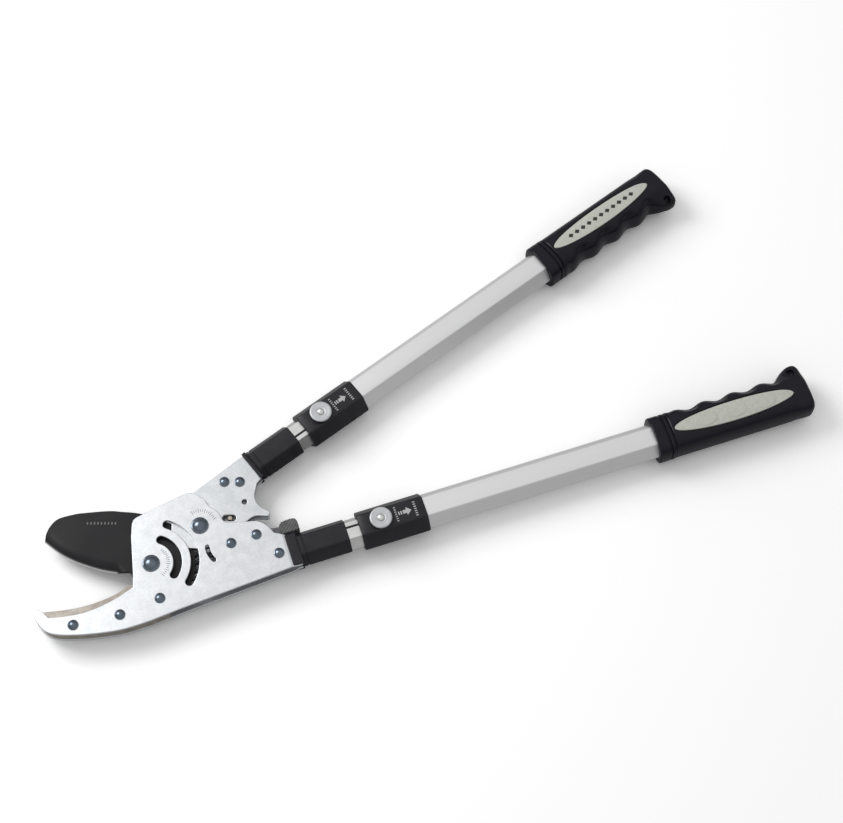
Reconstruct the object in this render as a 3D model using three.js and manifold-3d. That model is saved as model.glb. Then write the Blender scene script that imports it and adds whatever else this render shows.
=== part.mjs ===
// Ratcheting bypass loppers with telescopic handles, lying flat with the front face up.
// Units are millimetres, +Z up. The finished group stands on z = 0, centred on X and Y.
// Inside the group the blade pivot is the head's datum, and z = 0 is the mid-plane of every layer.
import * as THREE from 'three';
import { mergeVertices } from 'three/addons/utils/BufferGeometryUtils.js';
import Module from 'manifold-3d';

const wasm = await Module();
wasm.setup();

// ---- clearances ----
const GAP = 0.3;                  // between touching pieces, per side
const TELESCOPE_GAP = 0.4;        // between the sliding tubes, per side

// ---- layer stack of the head ----
const BLADE_THICKNESS = 3.9;
const LEVER_PLATE = 2.2;
const SIDE_PLATE = 2.5;
const MID = BLADE_THICKNESS / 2;              // half of the blade's layer
const LEVER_IN = MID + GAP;                   // inner face of a lever plate
const LEVER_OUT = LEVER_IN + LEVER_PLATE;
const PLATE_IN = LEVER_OUT + GAP;             // inner face of a side plate
const PLATE_OUT = PLATE_IN + SIDE_PLATE;

// ---- ratchet ring of the blade ----
const RING_TIP = 38.6;            // radius over the teeth
const TOOTH_DEPTH = 3.2;
const TOOTH_PITCH = 11;           // degrees
const FIRST_TOOTH = -49.6;        // degrees, lowest tooth with the blade open
const TOOTH_COUNT = 10;
const RING_ROOT = RING_TIP - TOOTH_DEPTH;
const HUB_RADIUS = 18;            // the blade's round heel

// ---- pivots, from the blade pivot ----
const bladePivot = point(0, 0);
const leverPivot = polar(RING_TIP + 11.6, 41.2);
const pawlPivot = polar(RING_TIP + 27.9, 15.4);
const releasePivot = offset(pawlPivot, 20.3, 7.6);
const tangRivetPlace = point(103.7, 9.1);
const hookRivetPlaces = [point(-58.8, -52.7), point(-22, -43.9), point(9.1, -29.9)];
const leverRivetPlaces = [point(55.6, 73.4), point(68.4, 73.4)];
const LARGE_HEAD = 7.25;          // radius of the two pivot heads
const LARGE_DOME = 2.6;
const SMALL_HEAD = 4.35;          // radius of the other rivet heads
const SMALL_DOME = 1.5;
const PIVOT_SHANK = 4.6;
const LEVER_PIVOT_SHANK = 3.3;
const RIVET_SHANK = 2.6;
const WASHER_RADIUS = 11;

// ---- arc windows of the side plates ----
const WINDOW_RADII = [21.6, 35.8];
const WINDOW_HALF_WIDTH = 3.5;
const WINDOW_FROM = -26;
const WINDOW_TO = 73;

// ---- ratchet pawls ----
const DRIVE_PIN = 1.5;
const drivePivot = offset(leverPivot, 4.3, -11.7);
const DRIVE_SWING = 9;            // degrees from clear of the teeth to engaged
const DRIVE_GAP_INDEX = 8;        // tooth gap that the drive pawl drops into
const HOLD_SWING = 5.2;
const HOLD_GAP_INDEX = 3;
const STOP_PIN = 1.5;
const STOP_PIN_ARM = 19.4;
const STOP_PIN_ANGLE = 200;         // with the holding pawl clear of the teeth
const STOP_SLOT_START = 189.5;
const STOP_SLOT_END = 227.7;
const NOSE_RADIUS = 0.8;
const DRIVE_DEPTH = 1.4;          // how far an engaged nose reaches below the tooth tips
const HOLD_DEPTH = 2.4;

// ---- handles: x runs from the lock button to the grip, y towards the other handle ----
const lowerDatum = point(186.5, 36.5);
const upperDatum = point(134.9, 132.6);
const LOWER_ANGLE = 18.5;
const UPPER_ANGLE = 38.3;
const TUBE_WIDTH = 31.5;          // hexagon across its side ridges
const TUBE_FLAT = 16.5;           // flat top and bottom
const TUBE_THICKNESS = 23;        // over the flats
const OUTER_WALL = 1.5;
const INNER_WALL = 1.4;
const FERRULE_WALL = 1.1;
const COLLAR_WALL = 1.3;
const FERRULE_START = -70.3;
const FERRULE_LENGTH = 38.8;
const FERRULE_FACE = 3.2;
const TANG_END = -40;
const TANG_GAP = 0.508;             // between a tang's edge and the bore's slanted side
const COLLAR_START = -21;
const COLLAR_LENGTH = 57;
const COLLAR_FACE = 3.4;
const GRIP_START = 238;           // grip neck
const GRIP_LENGTH = 147;
const GRIP_END_WALL = 20;          // solid rubber past the tube's end
const TRAVEL = 190;               // telescopic travel
const LOCK_STEPS = 5;
const INNER_OVERLAP = 62;         // tube left inside at full travel
const INNER_END = COLLAR_START + TRAVEL + INNER_OVERLAP;
const GROOVE_WIDTH = 2;
const GROOVE_DEPTH = 0.8;
const GROOVE_OFFSET = 2.8;

// ---- lock button ----
const BUTTON_RADIUS = 9.3;
const BUTTON_THICKNESS = 1.8;
const BUTTON_TRAVEL = 2;
const LOCK_PIN = 3;

// ---- grip ----
const GRIP_SIDE_WALL = 2.9;       // outside the tube's ridges
const GRIP_TOP_WALL = 5;          // over the tube's flats
const GRIP_FLARE = 10;            // how far the end stop stands out on the finger side
const FINGER_PITCH = 26;
const INLAY_LENGTH = 108;
const INLAY_WIDTH = 17;
const INLAY_THICKNESS = 1.5;
const INLAY_CENTRE = 74;          // from the grip neck
const HANG_HOLE = 3.4;

// ---- helpers: points and outlines ----
function point(x, y) {
  return new THREE.Vector2(x, y);
}
function polar(radius, degrees) {
  const angle = THREE.MathUtils.degToRad(degrees);
  return point(radius * Math.cos(angle), radius * Math.sin(angle));
}
function offset(place, dx, dy) {
  return point(place.x + dx, place.y + dy);
}
function directionOf(vector) {
  return THREE.MathUtils.radToDeg(Math.atan2(vector.y, vector.x));
}
function turned(place, centre, degrees) {
  return place.clone().rotateAround(centre, THREE.MathUtils.degToRad(degrees));
}
function outline(points) {
  return new THREE.Shape(points);
}
function circleShape(centre, radius) {
  return new THREE.Shape().absarc(centre.x, centre.y, radius, 0, 2 * Math.PI);
}

// Round-ended arm from a circle at a to a circle at b, drawn with its two common tangents.
function armShape(a, radiusA, b, radiusB) {
  const span = b.clone().sub(a);
  const heading = Math.atan2(span.y, span.x);
  const lean = Math.acos((radiusA - radiusB) / span.length());
  const shape = new THREE.Shape();
  shape.absarc(a.x, a.y, radiusA, heading + lean, heading - lean + 2 * Math.PI);
  shape.absarc(b.x, b.y, radiusB, heading - lean, heading + lean);
  return shape;
}

// Slot that follows an arc round a centre, with round ends.
function arcSlotShape(centre, radius, halfWidth, fromDegrees, toDegrees) {
  const from = THREE.MathUtils.degToRad(fromDegrees);
  const to = THREE.MathUtils.degToRad(toDegrees);
  const endA = polar(radius, fromDegrees).add(centre);
  const endB = polar(radius, toDegrees).add(centre);
  const shape = new THREE.Shape();
  shape.absarc(centre.x, centre.y, radius + halfWidth, from, to);
  shape.absarc(endB.x, endB.y, halfWidth, to, to + Math.PI);
  shape.absarc(centre.x, centre.y, radius - halfWidth, to, from, true);
  shape.absarc(endA.x, endA.y, halfWidth, from + Math.PI, from + 2 * Math.PI);
  return shape;
}

// ---- helpers: solids ----
function toSolid(geometry) {
  const bare = geometry.clone();
  bare.deleteAttribute('normal');
  bare.deleteAttribute('uv');
  const merged = mergeVertices(bare, 1e-4);
  const vertProperties = Float32Array.from(merged.attributes.position.array);
  const triVerts = Uint32Array.from(merged.index.array);
  return new wasm.Manifold(new wasm.Mesh({ numProp: 3, vertProperties, triVerts }));
}
function toGeometry(solid) {
  const mesh = solid.getMesh();
  const geometry = new THREE.BufferGeometry();
  geometry.setAttribute('position', new THREE.BufferAttribute(mesh.vertProperties, 3));
  geometry.setIndex(new THREE.BufferAttribute(mesh.triVerts, 1));
  geometry.computeVertexNormals();
  return geometry;
}
function join(first, ...others) {
  return toGeometry(others.reduce((sum, geometry) => sum.add(toSolid(geometry)), toSolid(first)));
}
function cut(body, ...tools) {
  return toGeometry(tools.reduce((rest, geometry) => rest.subtract(toSolid(geometry)), toSolid(body)));
}
function common(first, second) {
  return toGeometry(toSolid(first).intersect(toSolid(second)));
}

const THROUGH = 40;               // half depth of a cutter that goes right through

// A flat piece: the outline stood up from z = low to z = high.
function slab(shape, low, high, curveSegments = 4) {
  const settings = { depth: high - low, bevelEnabled: false, curveSegments };
  return new THREE.ExtrudeGeometry(shape, settings).translate(0, 0, low);
}
function drill(centre, radius, low = -THROUGH, high = THROUGH) {
  return slab(circleShape(centre, radius), low, high, 8);
}

// A prism along x: the outline holds (y, z) points.
function bar(points, start, end) {
  const prism = slab(outline(points), start, end);
  prism.rotateX(Math.PI / 2).rotateZ(Math.PI / 2);
  return prism;
}

// A side view cut: the outline holds (x, z) points and runs the given half width each way in y.
function sideCut(points, halfWidth) {
  return slab(outline(points), -halfWidth, halfWidth).rotateX(Math.PI / 2);
}

// A turned piece about a vertical axis; the profile holds (radius, z) points from bottom to top.
function turnedPiece(profile, centre, segments = 16) {
  const points = profile.map(([radius, z]) => point(radius, z));
  return new THREE.LatheGeometry(points, segments).rotateX(Math.PI / 2).translate(centre.x, centre.y, 0);
}
function domeProfile(radius, height, base, steps = 4) {
  const sphere = (radius * radius + height * height) / (2 * height);
  const spread = Math.asin(radius / sphere);
  return Array.from({ length: steps + 1 }, (_, i) => {
    const angle = spread * (1 - i / steps);
    return [i === steps ? 0 : sphere * Math.sin(angle), base + height - sphere * (1 - Math.cos(angle))];
  });
}

// A rivet with a domed head on each side of what it holds.
function rivet(centre, shank, head, dome, face) {
  const seat = face + GAP;
  const rim = 0.7;
  const top = [[shank, seat], [head, seat], ...domeProfile(head, dome, seat + rim)];
  const bottom = top.map(([radius, z]) => [radius, -z]).reverse();
  return turnedPiece([...bottom, ...top], centre);
}
function smallRivet(centre, face) {
  return rivet(centre, RIVET_SHANK, SMALL_HEAD, SMALL_DOME, face);
}
function pin(centre, radius, low, high) {
  return turnedPiece([[0, low], [radius, low], [radius, high], [0, high]], centre, 12);
}
function ring(inner, outer, low, high, centre) {
  return turnedPiece([[inner, low], [outer, low], [outer, high], [inner, high], [inner, low]], centre);
}

// Hexagonal tube section moved out by a distance measured square to its faces.
function hexSection(growth) {
  const slope = Math.hypot(TUBE_THICKNESS, TUBE_WIDTH - TUBE_FLAT);
  const acrossX = TUBE_THICKNESS / slope;
  const acrossZ = (TUBE_WIDTH - TUBE_FLAT) / slope;
  const half = TUBE_THICKNESS / 2 + growth;
  const wide = TUBE_WIDTH / 2 + growth / acrossX;
  const flat = wide - (acrossZ / acrossX) * half;
  return [
    point(wide, 0), point(flat, half), point(-flat, half),
    point(-wide, 0), point(-flat, -half), point(flat, -half),
  ];
}

// ---- sections shared by what slides or seats on the tubes ----
const OUTER_IN = -OUTER_WALL;
const INNER_OUT = OUTER_IN - TELESCOPE_GAP;
const INNER_IN = INNER_OUT - INNER_WALL;
// The bore loses half-width evenly with height, so the tangs fit at the height of their outer faces.
const boreSlope = (TUBE_WIDTH - TUBE_FLAT) / TUBE_THICKNESS;
const boreHalfWidth = TUBE_WIDTH / 2 + INNER_IN * Math.hypot(1, boreSlope) - boreSlope * LEVER_OUT;
const TANG_HALF_WIDTH = boreHalfWidth - TANG_GAP;
const FERRULE_IN = INNER_OUT + GAP;
const FERRULE_OUT = FERRULE_IN + FERRULE_WALL;
const COLLAR_OUT = GAP + COLLAR_WALL;
const innerTop = TUBE_THICKNESS / 2 + INNER_OUT;
const collarTop = TUBE_THICKNESS / 2 + COLLAR_OUT;
const gripTop = TUBE_THICKNESS / 2 + GRIP_TOP_WALL;
const gripSide = TUBE_WIDTH / 2 + GRIP_SIDE_WALL;

// Places a piece built along a handle into the head's coordinates.
function alongHandle(geometry, datum, degrees) {
  return geometry.rotateZ(THREE.MathUtils.degToRad(degrees)).translate(datum.x, datum.y, 0);
}
function handlePoint(datum, degrees, along, across) {
  return point(along, across).rotateAround(point(0, 0), THREE.MathUtils.degToRad(degrees)).add(datum);
}

// ---- materials ----
function finish(color, roughness, metalness) {
  return new THREE.MeshStandardMaterial({ color, roughness, metalness });
}
const FINISHES = {
  zinc: () => finish(0xc3c7ca, 0.38, 0.9),
  leverSteel: () => finish(0xb9bdc0, 0.34, 0.9),
  rivetSteel: () => finish(0x9fa8b2, 0.25, 0.95),
  coatedSteel: () => finish(0x1d1d20, 0.42, 0.3),
  bareSteel: () => finish(0x77706a, 0.5, 0.8),
  hardSteel: () => finish(0x4a4b4e, 0.45, 0.8),
  aluminium: () => finish(0xc9cacc, 0.42, 0.85),
  brightTube: () => finish(0xd6d7d8, 0.22, 0.95),
  blackPlastic: () => finish(0x2a2a2d, 0.5, 0),
  greyPlastic: () => finish(0x77787b, 0.5, 0.1),
  gripRubber: () => finish(0x242428, 0.45, 0),
  inlay: () => finish(0xb9bcae, 0.6, 0),
  buttonGrey: () => finish(0xb0b1b4, 0.4, 0.3),
};

const head = new THREE.Group();
function addTo(group, name, geometry, finishName) {
  const mesh = new THREE.Mesh(geometry, FINISHES[finishName]());
  mesh.name = name;
  group.add(mesh);
  return mesh;
}

// ---- frame: side plates, counter blade and spacers ----
const hookInner = [
  point(-26.1, -30), point(-37.1, -36.3), point(-48.2, -41.2), point(-59.5, -44.2), point(-70.8, -45.9),
];
const hookOuter = [
  point(-88.9, -49.4), point(-80.5, -57.8), point(-69, -60.8), point(-46.7, -60.3), point(-20, -56.4),
  point(3, -48.8),
];
const PLATE_REAR = FERRULE_START - 1;
const PLATE_REAR_HALF = 14;
const JOG_START = -81;
const JOG_END = -73.5;
const JOG_DEPTH = PLATE_OUT - LEVER_OUT;

function sidePlateOutline() {
  const rear = (along, across) => handlePoint(lowerDatum, LOWER_ANGLE, along, across);
  const shape = new THREE.Shape();
  shape.moveTo(-84.3, -41.8);
  shape.lineTo(-87.9, -39.9);
  shape.quadraticCurveTo(-91.2, -41, -91, -44.5);
  shape.splineThru(hookOuter);
  for (const place of [
    point(25.9, -38.9), rear(PLATE_REAR, -PLATE_REAR_HALF), rear(PLATE_REAR, -TANG_HALF_WIDTH),
    rear(TANG_END, -TANG_HALF_WIDTH), rear(TANG_END, TANG_HALF_WIDTH), rear(PLATE_REAR, TANG_HALF_WIDTH),
    rear(PLATE_REAR, PLATE_REAR_HALF), point(107.9, 25.4), point(98.8, 27),
  ]) {
    shape.lineTo(place.x, place.y);
  }
  shape.quadraticCurveTo(91, 37.5, 82, 37.4);
  shape.lineTo(62.8, 35.8);
  shape.quadraticCurveTo(57, 35.4, 55.2, 40);
  shape.splineThru([point(51.4, 45.6), point(43.9, 50.9), point(39.9, 56.9), point(33, 61)]);
  shape.quadraticCurveTo(27, 63.6, 21.5, 60.3);
  shape.lineTo(-13.5, 41.1);
  shape.quadraticCurveTo(-18.2, 38.6, -18, 33);
  shape.lineTo(-17.9, 23.1);
  shape.lineTo(-14.1, -8.7);
  shape.lineTo(-13.3, -20.4);
  shape.splineThru(hookInner);
  shape.lineTo(-79.2, -46.6);
  return shape;
}

function sidePlate() {
  const top = PLATE_OUT;
  const back = -150;
  const jogSide = [
    point(back * 3, top - SIDE_PLATE), point(JOG_START, top - SIDE_PLATE),
    point(JOG_END, top - SIDE_PLATE - JOG_DEPTH), point(0, top - SIDE_PLATE - JOG_DEPTH),
    point(0, top - JOG_DEPTH), point(JOG_END, top - JOG_DEPTH), point(JOG_START, top),
    point(back * 3, top),
  ];
  const sheet = alongHandle(sideCut(jogSide, -back), lowerDatum, LOWER_ANGLE);
  const windows = WINDOW_RADII.map((radius) => (
    arcSlotShape(bladePivot, radius, WINDOW_HALF_WIDTH, WINDOW_FROM, WINDOW_TO)));
  const stopSlot = arcSlotShape(pawlPivot, STOP_PIN_ARM, STOP_PIN + GAP, STOP_SLOT_START, STOP_SLOT_END);
  const blank = common(slab(sidePlateOutline(), -20, 20, 3), sheet);
  return cut(
    blank,
    drill(bladePivot, PIVOT_SHANK + GAP),
    drill(leverPivot, LEVER_PIVOT_SHANK + GAP),
    drill(pawlPivot, RIVET_SHANK + GAP),
    drill(releasePivot, RIVET_SHANK + GAP),
    drill(tangRivetPlace, RIVET_SHANK + GAP),
    ...hookRivetPlaces.map((place) => drill(place, RIVET_SHANK + GAP)),
    ...windows.map((shape) => slab(shape, -THROUGH, THROUGH, 6)),
    slab(stopSlot, -THROUGH, THROUGH),
  );
}

const HOOK_INSET = 0.7;
const SPACER_REAR = point(17.5, -42.4);
const SPACER_SHOULDER = point(13.8, -25.6);

// The hook's filler outline; inner is the working edge from the throat to the nose.
function hookOutline(inner, nose) {
  const shape = new THREE.Shape();
  shape.moveTo(nose.x, nose.y);
  shape.splineThru(hookOuter.map((place) => offset(place, HOOK_INSET, HOOK_INSET)));
  shape.lineTo(SPACER_REAR.x, SPACER_REAR.y);
  shape.lineTo(SPACER_SHOULDER.x, SPACER_SHOULDER.y);
  shape.quadraticCurveTo(3, -24, -8, -22.5);
  shape.splineThru(inner);
  return shape;
}
function withHookRivets(solid) {
  return cut(solid, ...hookRivetPlaces.map((place) => drill(place, RIVET_SHANK + GAP)));
}
function counterBlade() {
  const edge = [
    point(-16.2, -14.9), point(-28.1, -22.8), point(-39.2, -28.4), point(-50.5, -32.6),
    point(-61.8, -35.4), point(-73.3, -37.3), point(-84.8, -38.4),
  ];
  return withHookRivets(slab(hookOutline(edge, point(-88.6, -43.5)), -LEVER_OUT, -LEVER_IN, 3));
}
function hookSpacer() {
  const edge = [...hookInner.map((place) => offset(place, 0.3, -1.1)), point(-79.5, -47.4)];
  return withHookRivets(slab(hookOutline(edge, point(-87.4, -46)), -MID, LEVER_OUT, 3));
}
function tangSpacer() {
  const thick = LEVER_OUT;
  const thin = LEVER_OUT - JOG_DEPTH;
  const start = -97;
  const flange = [
    point(start, -thick), point(JOG_START - 1, -thick), point(JOG_END - 1, -thin), point(TANG_END, -thin),
    point(TANG_END, thin), point(JOG_END - 1, thin), point(JOG_START - 1, thick), point(start, thick),
  ];
  const blank = alongHandle(sideCut(flange, TANG_HALF_WIDTH), lowerDatum, LOWER_ANGLE);
  return cut(blank, drill(tangRivetPlace, RIVET_SHANK + GAP));
}

function buildFrame() {
  const plate = sidePlate();
  addTo(head, 'front_side_plate', plate, 'zinc');
  const rearPlate = toGeometry(toSolid(plate).mirror([0, 0, 1]));
  addTo(head, 'rear_side_plate', rearPlate, 'zinc');
  addTo(head, 'counter_blade', counterBlade(), 'bareSteel');
  addTo(head, 'hook_spacer', hookSpacer(), 'bareSteel');
  addTo(head, 'tang_spacer', tangSpacer(), 'hardSteel');
  ['hook_rivet_tip', 'hook_rivet_middle', 'hook_rivet_heel'].forEach((name, i) => {
    addTo(head, name, smallRivet(hookRivetPlaces[i], PLATE_OUT), 'rivetSteel');
  });
  addTo(head, 'tang_rivet', smallRivet(tangRivetPlace, PLATE_OUT), 'rivetSteel');
  addTo(head, 'pawl_pivot_rivet', smallRivet(pawlPivot, PLATE_OUT), 'rivetSteel');
  addTo(head, 'release_pivot_rivet', smallRivet(releasePivot, PLATE_OUT), 'rivetSteel');
  const bladePin = rivet(bladePivot, PIVOT_SHANK, LARGE_HEAD, LARGE_DOME, PLATE_OUT);
  addTo(head, 'blade_pivot_rivet', bladePin, 'rivetSteel');
  const leverPin = rivet(leverPivot, LEVER_PIVOT_SHANK, LARGE_HEAD, LARGE_DOME, PLATE_OUT);
  addTo(head, 'lever_pivot_rivet', leverPin, 'rivetSteel');
  const washer = (low, high) => ring(PIVOT_SHANK + GAP, WASHER_RADIUS, low, high, bladePivot);
  addTo(head, 'blade_washer_front', washer(LEVER_IN, LEVER_OUT), 'hardSteel');
  addTo(head, 'blade_washer_rear', washer(-LEVER_OUT, -LEVER_IN), 'hardSteel');
  const spring = ring(WASHER_RADIUS + GAP, WASHER_RADIUS + GAP + 2, -LEVER_OUT, -LEVER_IN, bladePivot);
  addTo(head, 'blade_return_spring', spring, 'rivetSteel');
  const pawlSpring = ring(RIVET_SHANK + GAP, RIVET_SHANK + GAP + 1.9, -LEVER_OUT, -LEVER_IN, pawlPivot);
  addTo(head, 'holding_pawl_spring', pawlSpring, 'rivetSteel');
}

// ---- blade ----
const bladeBack = [
  point(4, 41), point(-12.9, 46), point(-28.8, 47.7), point(-40.6, 48.2), point(-64.2, 46),
];
const bladeTip = [point(-76.6, 42.7), point(-82.5, 39.3), point(-86.8, 33.3), point(-88.9, 27.4)];
const bladePoint = point(-89.8, 21.2);
const bladeEdge = [
  point(-77.1, 11.5), point(-64.7, 4.7), point(-52.7, 0.1), point(-40.7, -3.5), point(-28.9, -5.6),
];
function bladeOutline() {
  const shape = new THREE.Shape();
  const first = FIRST_TOOTH - 0.5 * TOOTH_PITCH;
  const heel = polar(HUB_RADIUS, first);
  shape.moveTo(heel.x, heel.y);
  for (let i = 0; i < TOOTH_COUNT; i += 1) {
    const middle = FIRST_TOOTH + i * TOOTH_PITCH;
    for (const [radius, share] of [[RING_ROOT, -0.3], [RING_TIP, -0.1], [RING_TIP, 0.1], [RING_ROOT, 0.3]]) {
      const corner = polar(radius, middle + share * TOOTH_PITCH);
      shape.lineTo(corner.x, corner.y);
    }
  }
  const last = FIRST_TOOTH + TOOTH_COUNT * TOOTH_PITCH;
  const shoulder = polar(RING_TIP, last);
  shape.lineTo(shoulder.x, shoulder.y);
  shape.splineThru(bladeBack);
  shape.splineThru(bladeTip);
  shape.lineTo(bladePoint.x, bladePoint.y);
  shape.splineThru(bladeEdge);
  shape.lineTo(polar(HUB_RADIUS, 197).x, polar(HUB_RADIUS, 197).y);
  const from = THREE.MathUtils.degToRad(197);
  shape.absarc(0, 0, HUB_RADIUS, from, THREE.MathUtils.degToRad(first + 360));
  return shape;
}
function buildBlade() {
  const blank = slab(bladeOutline(), -MID, MID, 3);
  addTo(head, 'blade', cut(blank, drill(bladePivot, PIVOT_SHANK + GAP)), 'coatedSteel');
}

// ---- upper lever: two plates that carry the upper handle ----
function leverPlateOutline() {
  const rear = (along, across) => handlePoint(upperDatum, UPPER_ANGLE, along, across);
  const lobe = 19.6;
  const lobeEnd = polar(lobe, -47).add(leverPivot);
  const shape = new THREE.Shape();
  shape.moveTo(14.3, 38);
  shape.lineTo(14.3, 22.5);
  shape.lineTo(20.5, 14.4);
  shape.lineTo(leverPivot.x - 5, 14.4);
  shape.quadraticCurveTo(leverPivot.x + 5, 12.9, lobeEnd.x, lobeEnd.y);
  for (const place of [point(61.5, 28.8), point(69, 33.2), point(77, 39.2)]) {
    shape.lineTo(place.x, place.y);
  }
  shape.quadraticCurveTo(81, 43.6, 86, 43.2);
  shape.lineTo(93, 42.8);
  shape.quadraticCurveTo(95.6, 45.4, 93.4, 47.6);
  shape.quadraticCurveTo(81, 52, 81.2, 62.7);
  for (const place of [
    rear(FERRULE_START - 8, -15), rear(PLATE_REAR, -13), rear(PLATE_REAR, -TANG_HALF_WIDTH),
    rear(TANG_END, -TANG_HALF_WIDTH), rear(TANG_END, TANG_HALF_WIDTH),
    rear(PLATE_REAR, TANG_HALF_WIDTH), rear(PLATE_REAR, 11.5), rear(FERRULE_START - 5, 12.2),
  ]) {
    shape.lineTo(place.x, place.y);
  }
  shape.lineTo(30.3, 63.2);
  shape.quadraticCurveTo(17, 53, 14.3, 38);
  return shape;
}
const springPostPlace = offset(leverPivot, 24.2, 8);
const SPRING_POST = 1.7;

function leverPlate(low, high, postCut) {
  return cut(
    slab(leverPlateOutline(), low, high),
    drill(leverPivot, LEVER_PIVOT_SHANK + GAP),
    drill(drivePivot, DRIVE_PIN + GAP),
    ...leverRivetPlaces.map((place) => drill(place, RIVET_SHANK + GAP)),
    drill(point(73.2, 55.5), 2.3),
    postCut,
  );
}
function leverSpacer() {
  const along = (x, y) => handlePoint(upperDatum, UPPER_ANGLE, x, y);
  const shape = outline([
    along(-104, -8), along(TANG_END, -8), along(TANG_END, 8), along(-90, 8), along(-104, 11.5),
  ]);
  return cut(slab(shape, -MID, MID), ...leverRivetPlaces.map((place) => drill(place, RIVET_SHANK + GAP)));
}
function buildLever() {
  const postSlot = armShape(offset(springPostPlace, -3.6, 0), 2.85, offset(springPostPlace, 2.2, 0), 2.849);
  const frontPlate = leverPlate(LEVER_IN, LEVER_OUT, slab(postSlot, -THROUGH, THROUGH));
  addTo(head, 'front_lever_plate', frontPlate, 'leverSteel');
  const postHole = drill(springPostPlace, SPRING_POST + GAP);
  addTo(head, 'rear_lever_plate', leverPlate(-LEVER_OUT, -LEVER_IN, postHole), 'leverSteel');
  addTo(head, 'lever_spacer', leverSpacer(), 'hardSteel');
  addTo(head, 'lever_rivet_inner', smallRivet(leverRivetPlaces[0], LEVER_OUT), 'rivetSteel');
  addTo(head, 'lever_rivet_outer', smallRivet(leverRivetPlaces[1], LEVER_OUT), 'rivetSteel');
  addTo(head, 'spring_post', pin(springPostPlace, SPRING_POST, -LEVER_OUT, LEVER_OUT), 'hardSteel');
  addTo(head, 'drive_pawl_pin', pin(drivePivot, DRIVE_PIN, -LEVER_OUT, LEVER_OUT), 'hardSteel');
}

// ---- pawls and release lever ----
function gapAngle(index) {
  return FIRST_TOOTH + (index + 0.5) * TOOTH_PITCH;
}
function buildPawls() {
  const noseRadius = RING_TIP + NOSE_RADIUS;
  const driveGap = gapAngle(DRIVE_GAP_INDEX);
  const driveNose = turned(polar(noseRadius - DRIVE_DEPTH, driveGap), drivePivot, -DRIVE_SWING);
  const driveElbow = turned(polar(RING_TIP + 4, driveGap - 2.9), drivePivot, -DRIVE_SWING);
  const driveTail = offset(drivePivot, 5.6, 2.4);
  const driveBody = join(
    slab(armShape(drivePivot, 2.8, driveElbow, 1.3), -MID, MID),
    slab(armShape(driveElbow, 1.3, driveNose, NOSE_RADIUS), -MID, MID),
    slab(armShape(drivePivot, 2.7, driveTail, 1.6), -MID, MID),
  );
  addTo(head, 'drive_pawl', cut(driveBody, drill(drivePivot, DRIVE_PIN + GAP)), 'hardSteel');
  const springEnd = offset(driveTail, 2.4, 2.6);
  const springRun = springPostPlace.clone().sub(springEnd);
  const springLength = springRun.length() - SPRING_POST - GAP;
  const coil = new THREE.CylinderGeometry(1.6, 1.6, springLength, 10).translate(0, springLength / 2, 0);
  coil.rotateZ(THREE.MathUtils.degToRad(directionOf(springRun) - 90)).translate(springEnd.x, springEnd.y, 0);
  addTo(head, 'drive_pawl_spring', coil, 'rivetSteel');

  const holdGap = gapAngle(HOLD_GAP_INDEX);
  const holdNose = turned(polar(noseRadius - HOLD_DEPTH, holdGap), pawlPivot, HOLD_SWING);
  const holdElbow = turned(polar(RING_TIP + 7.6, holdGap - 1.3), pawlPivot, HOLD_SWING);
  const stopPlace = polar(STOP_PIN_ARM, STOP_PIN_ANGLE).add(pawlPivot);
  const tail = polar(8.5, 12).add(pawlPivot);
  const holdBody = join(
    slab(armShape(pawlPivot, 5.4, holdElbow, 2.5), -MID, MID),
    slab(armShape(holdElbow, 2.5, holdNose, NOSE_RADIUS), -MID, MID),
    slab(armShape(pawlPivot, 5.2, stopPlace, 2.6), -MID, MID),
    slab(armShape(pawlPivot, 5, tail, 2), -MID, MID),
  );
  const holes = [drill(pawlPivot, RIVET_SHANK + GAP), drill(stopPlace, STOP_PIN + GAP)];
  addTo(head, 'holding_pawl', cut(holdBody, ...holes), 'hardSteel');
  addTo(head, 'pawl_stop_pin', pin(stopPlace, STOP_PIN, -MID, PLATE_OUT + 0.4), 'rivetSteel');
}
function buildRelease() {
  const inner = offset(releasePivot, -9.5, -8.5);
  const padCentre = handlePoint(lowerDatum, LOWER_ANGLE, -74.5, 20.6);
  const arm = armShape(releasePivot, 5.2, padCentre, 2.8);
  const body = join(
    slab(arm, -MID, MID),
    slab(armShape(releasePivot, 5, inner, 1.3), -MID, MID),
  );
  addTo(head, 'release_lever', cut(body, drill(releasePivot, RIVET_SHANK + GAP)), 'greyPlastic');
  const edge = TUBE_WIDTH / 2 - 0.2;
  const corners = [
    [-79.5, edge], [-66.5, edge], [-65, edge + 2], [-65.4, 24], [-68.5, 26.6], [-78, 26], [-81.5, 21],
  ];
  const plan = outline(corners.map(([x, y]) => handlePoint(lowerDatum, LOWER_ANGLE, x, y)));
  const pocket = slab(armShape(releasePivot, 5.2 + GAP, padCentre, 2.8 + GAP), -MID - GAP, MID + GAP);
  addTo(head, 'thumb_pad', cut(slab(plan, -7, 8), pocket), 'greyPlastic');
}

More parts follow.
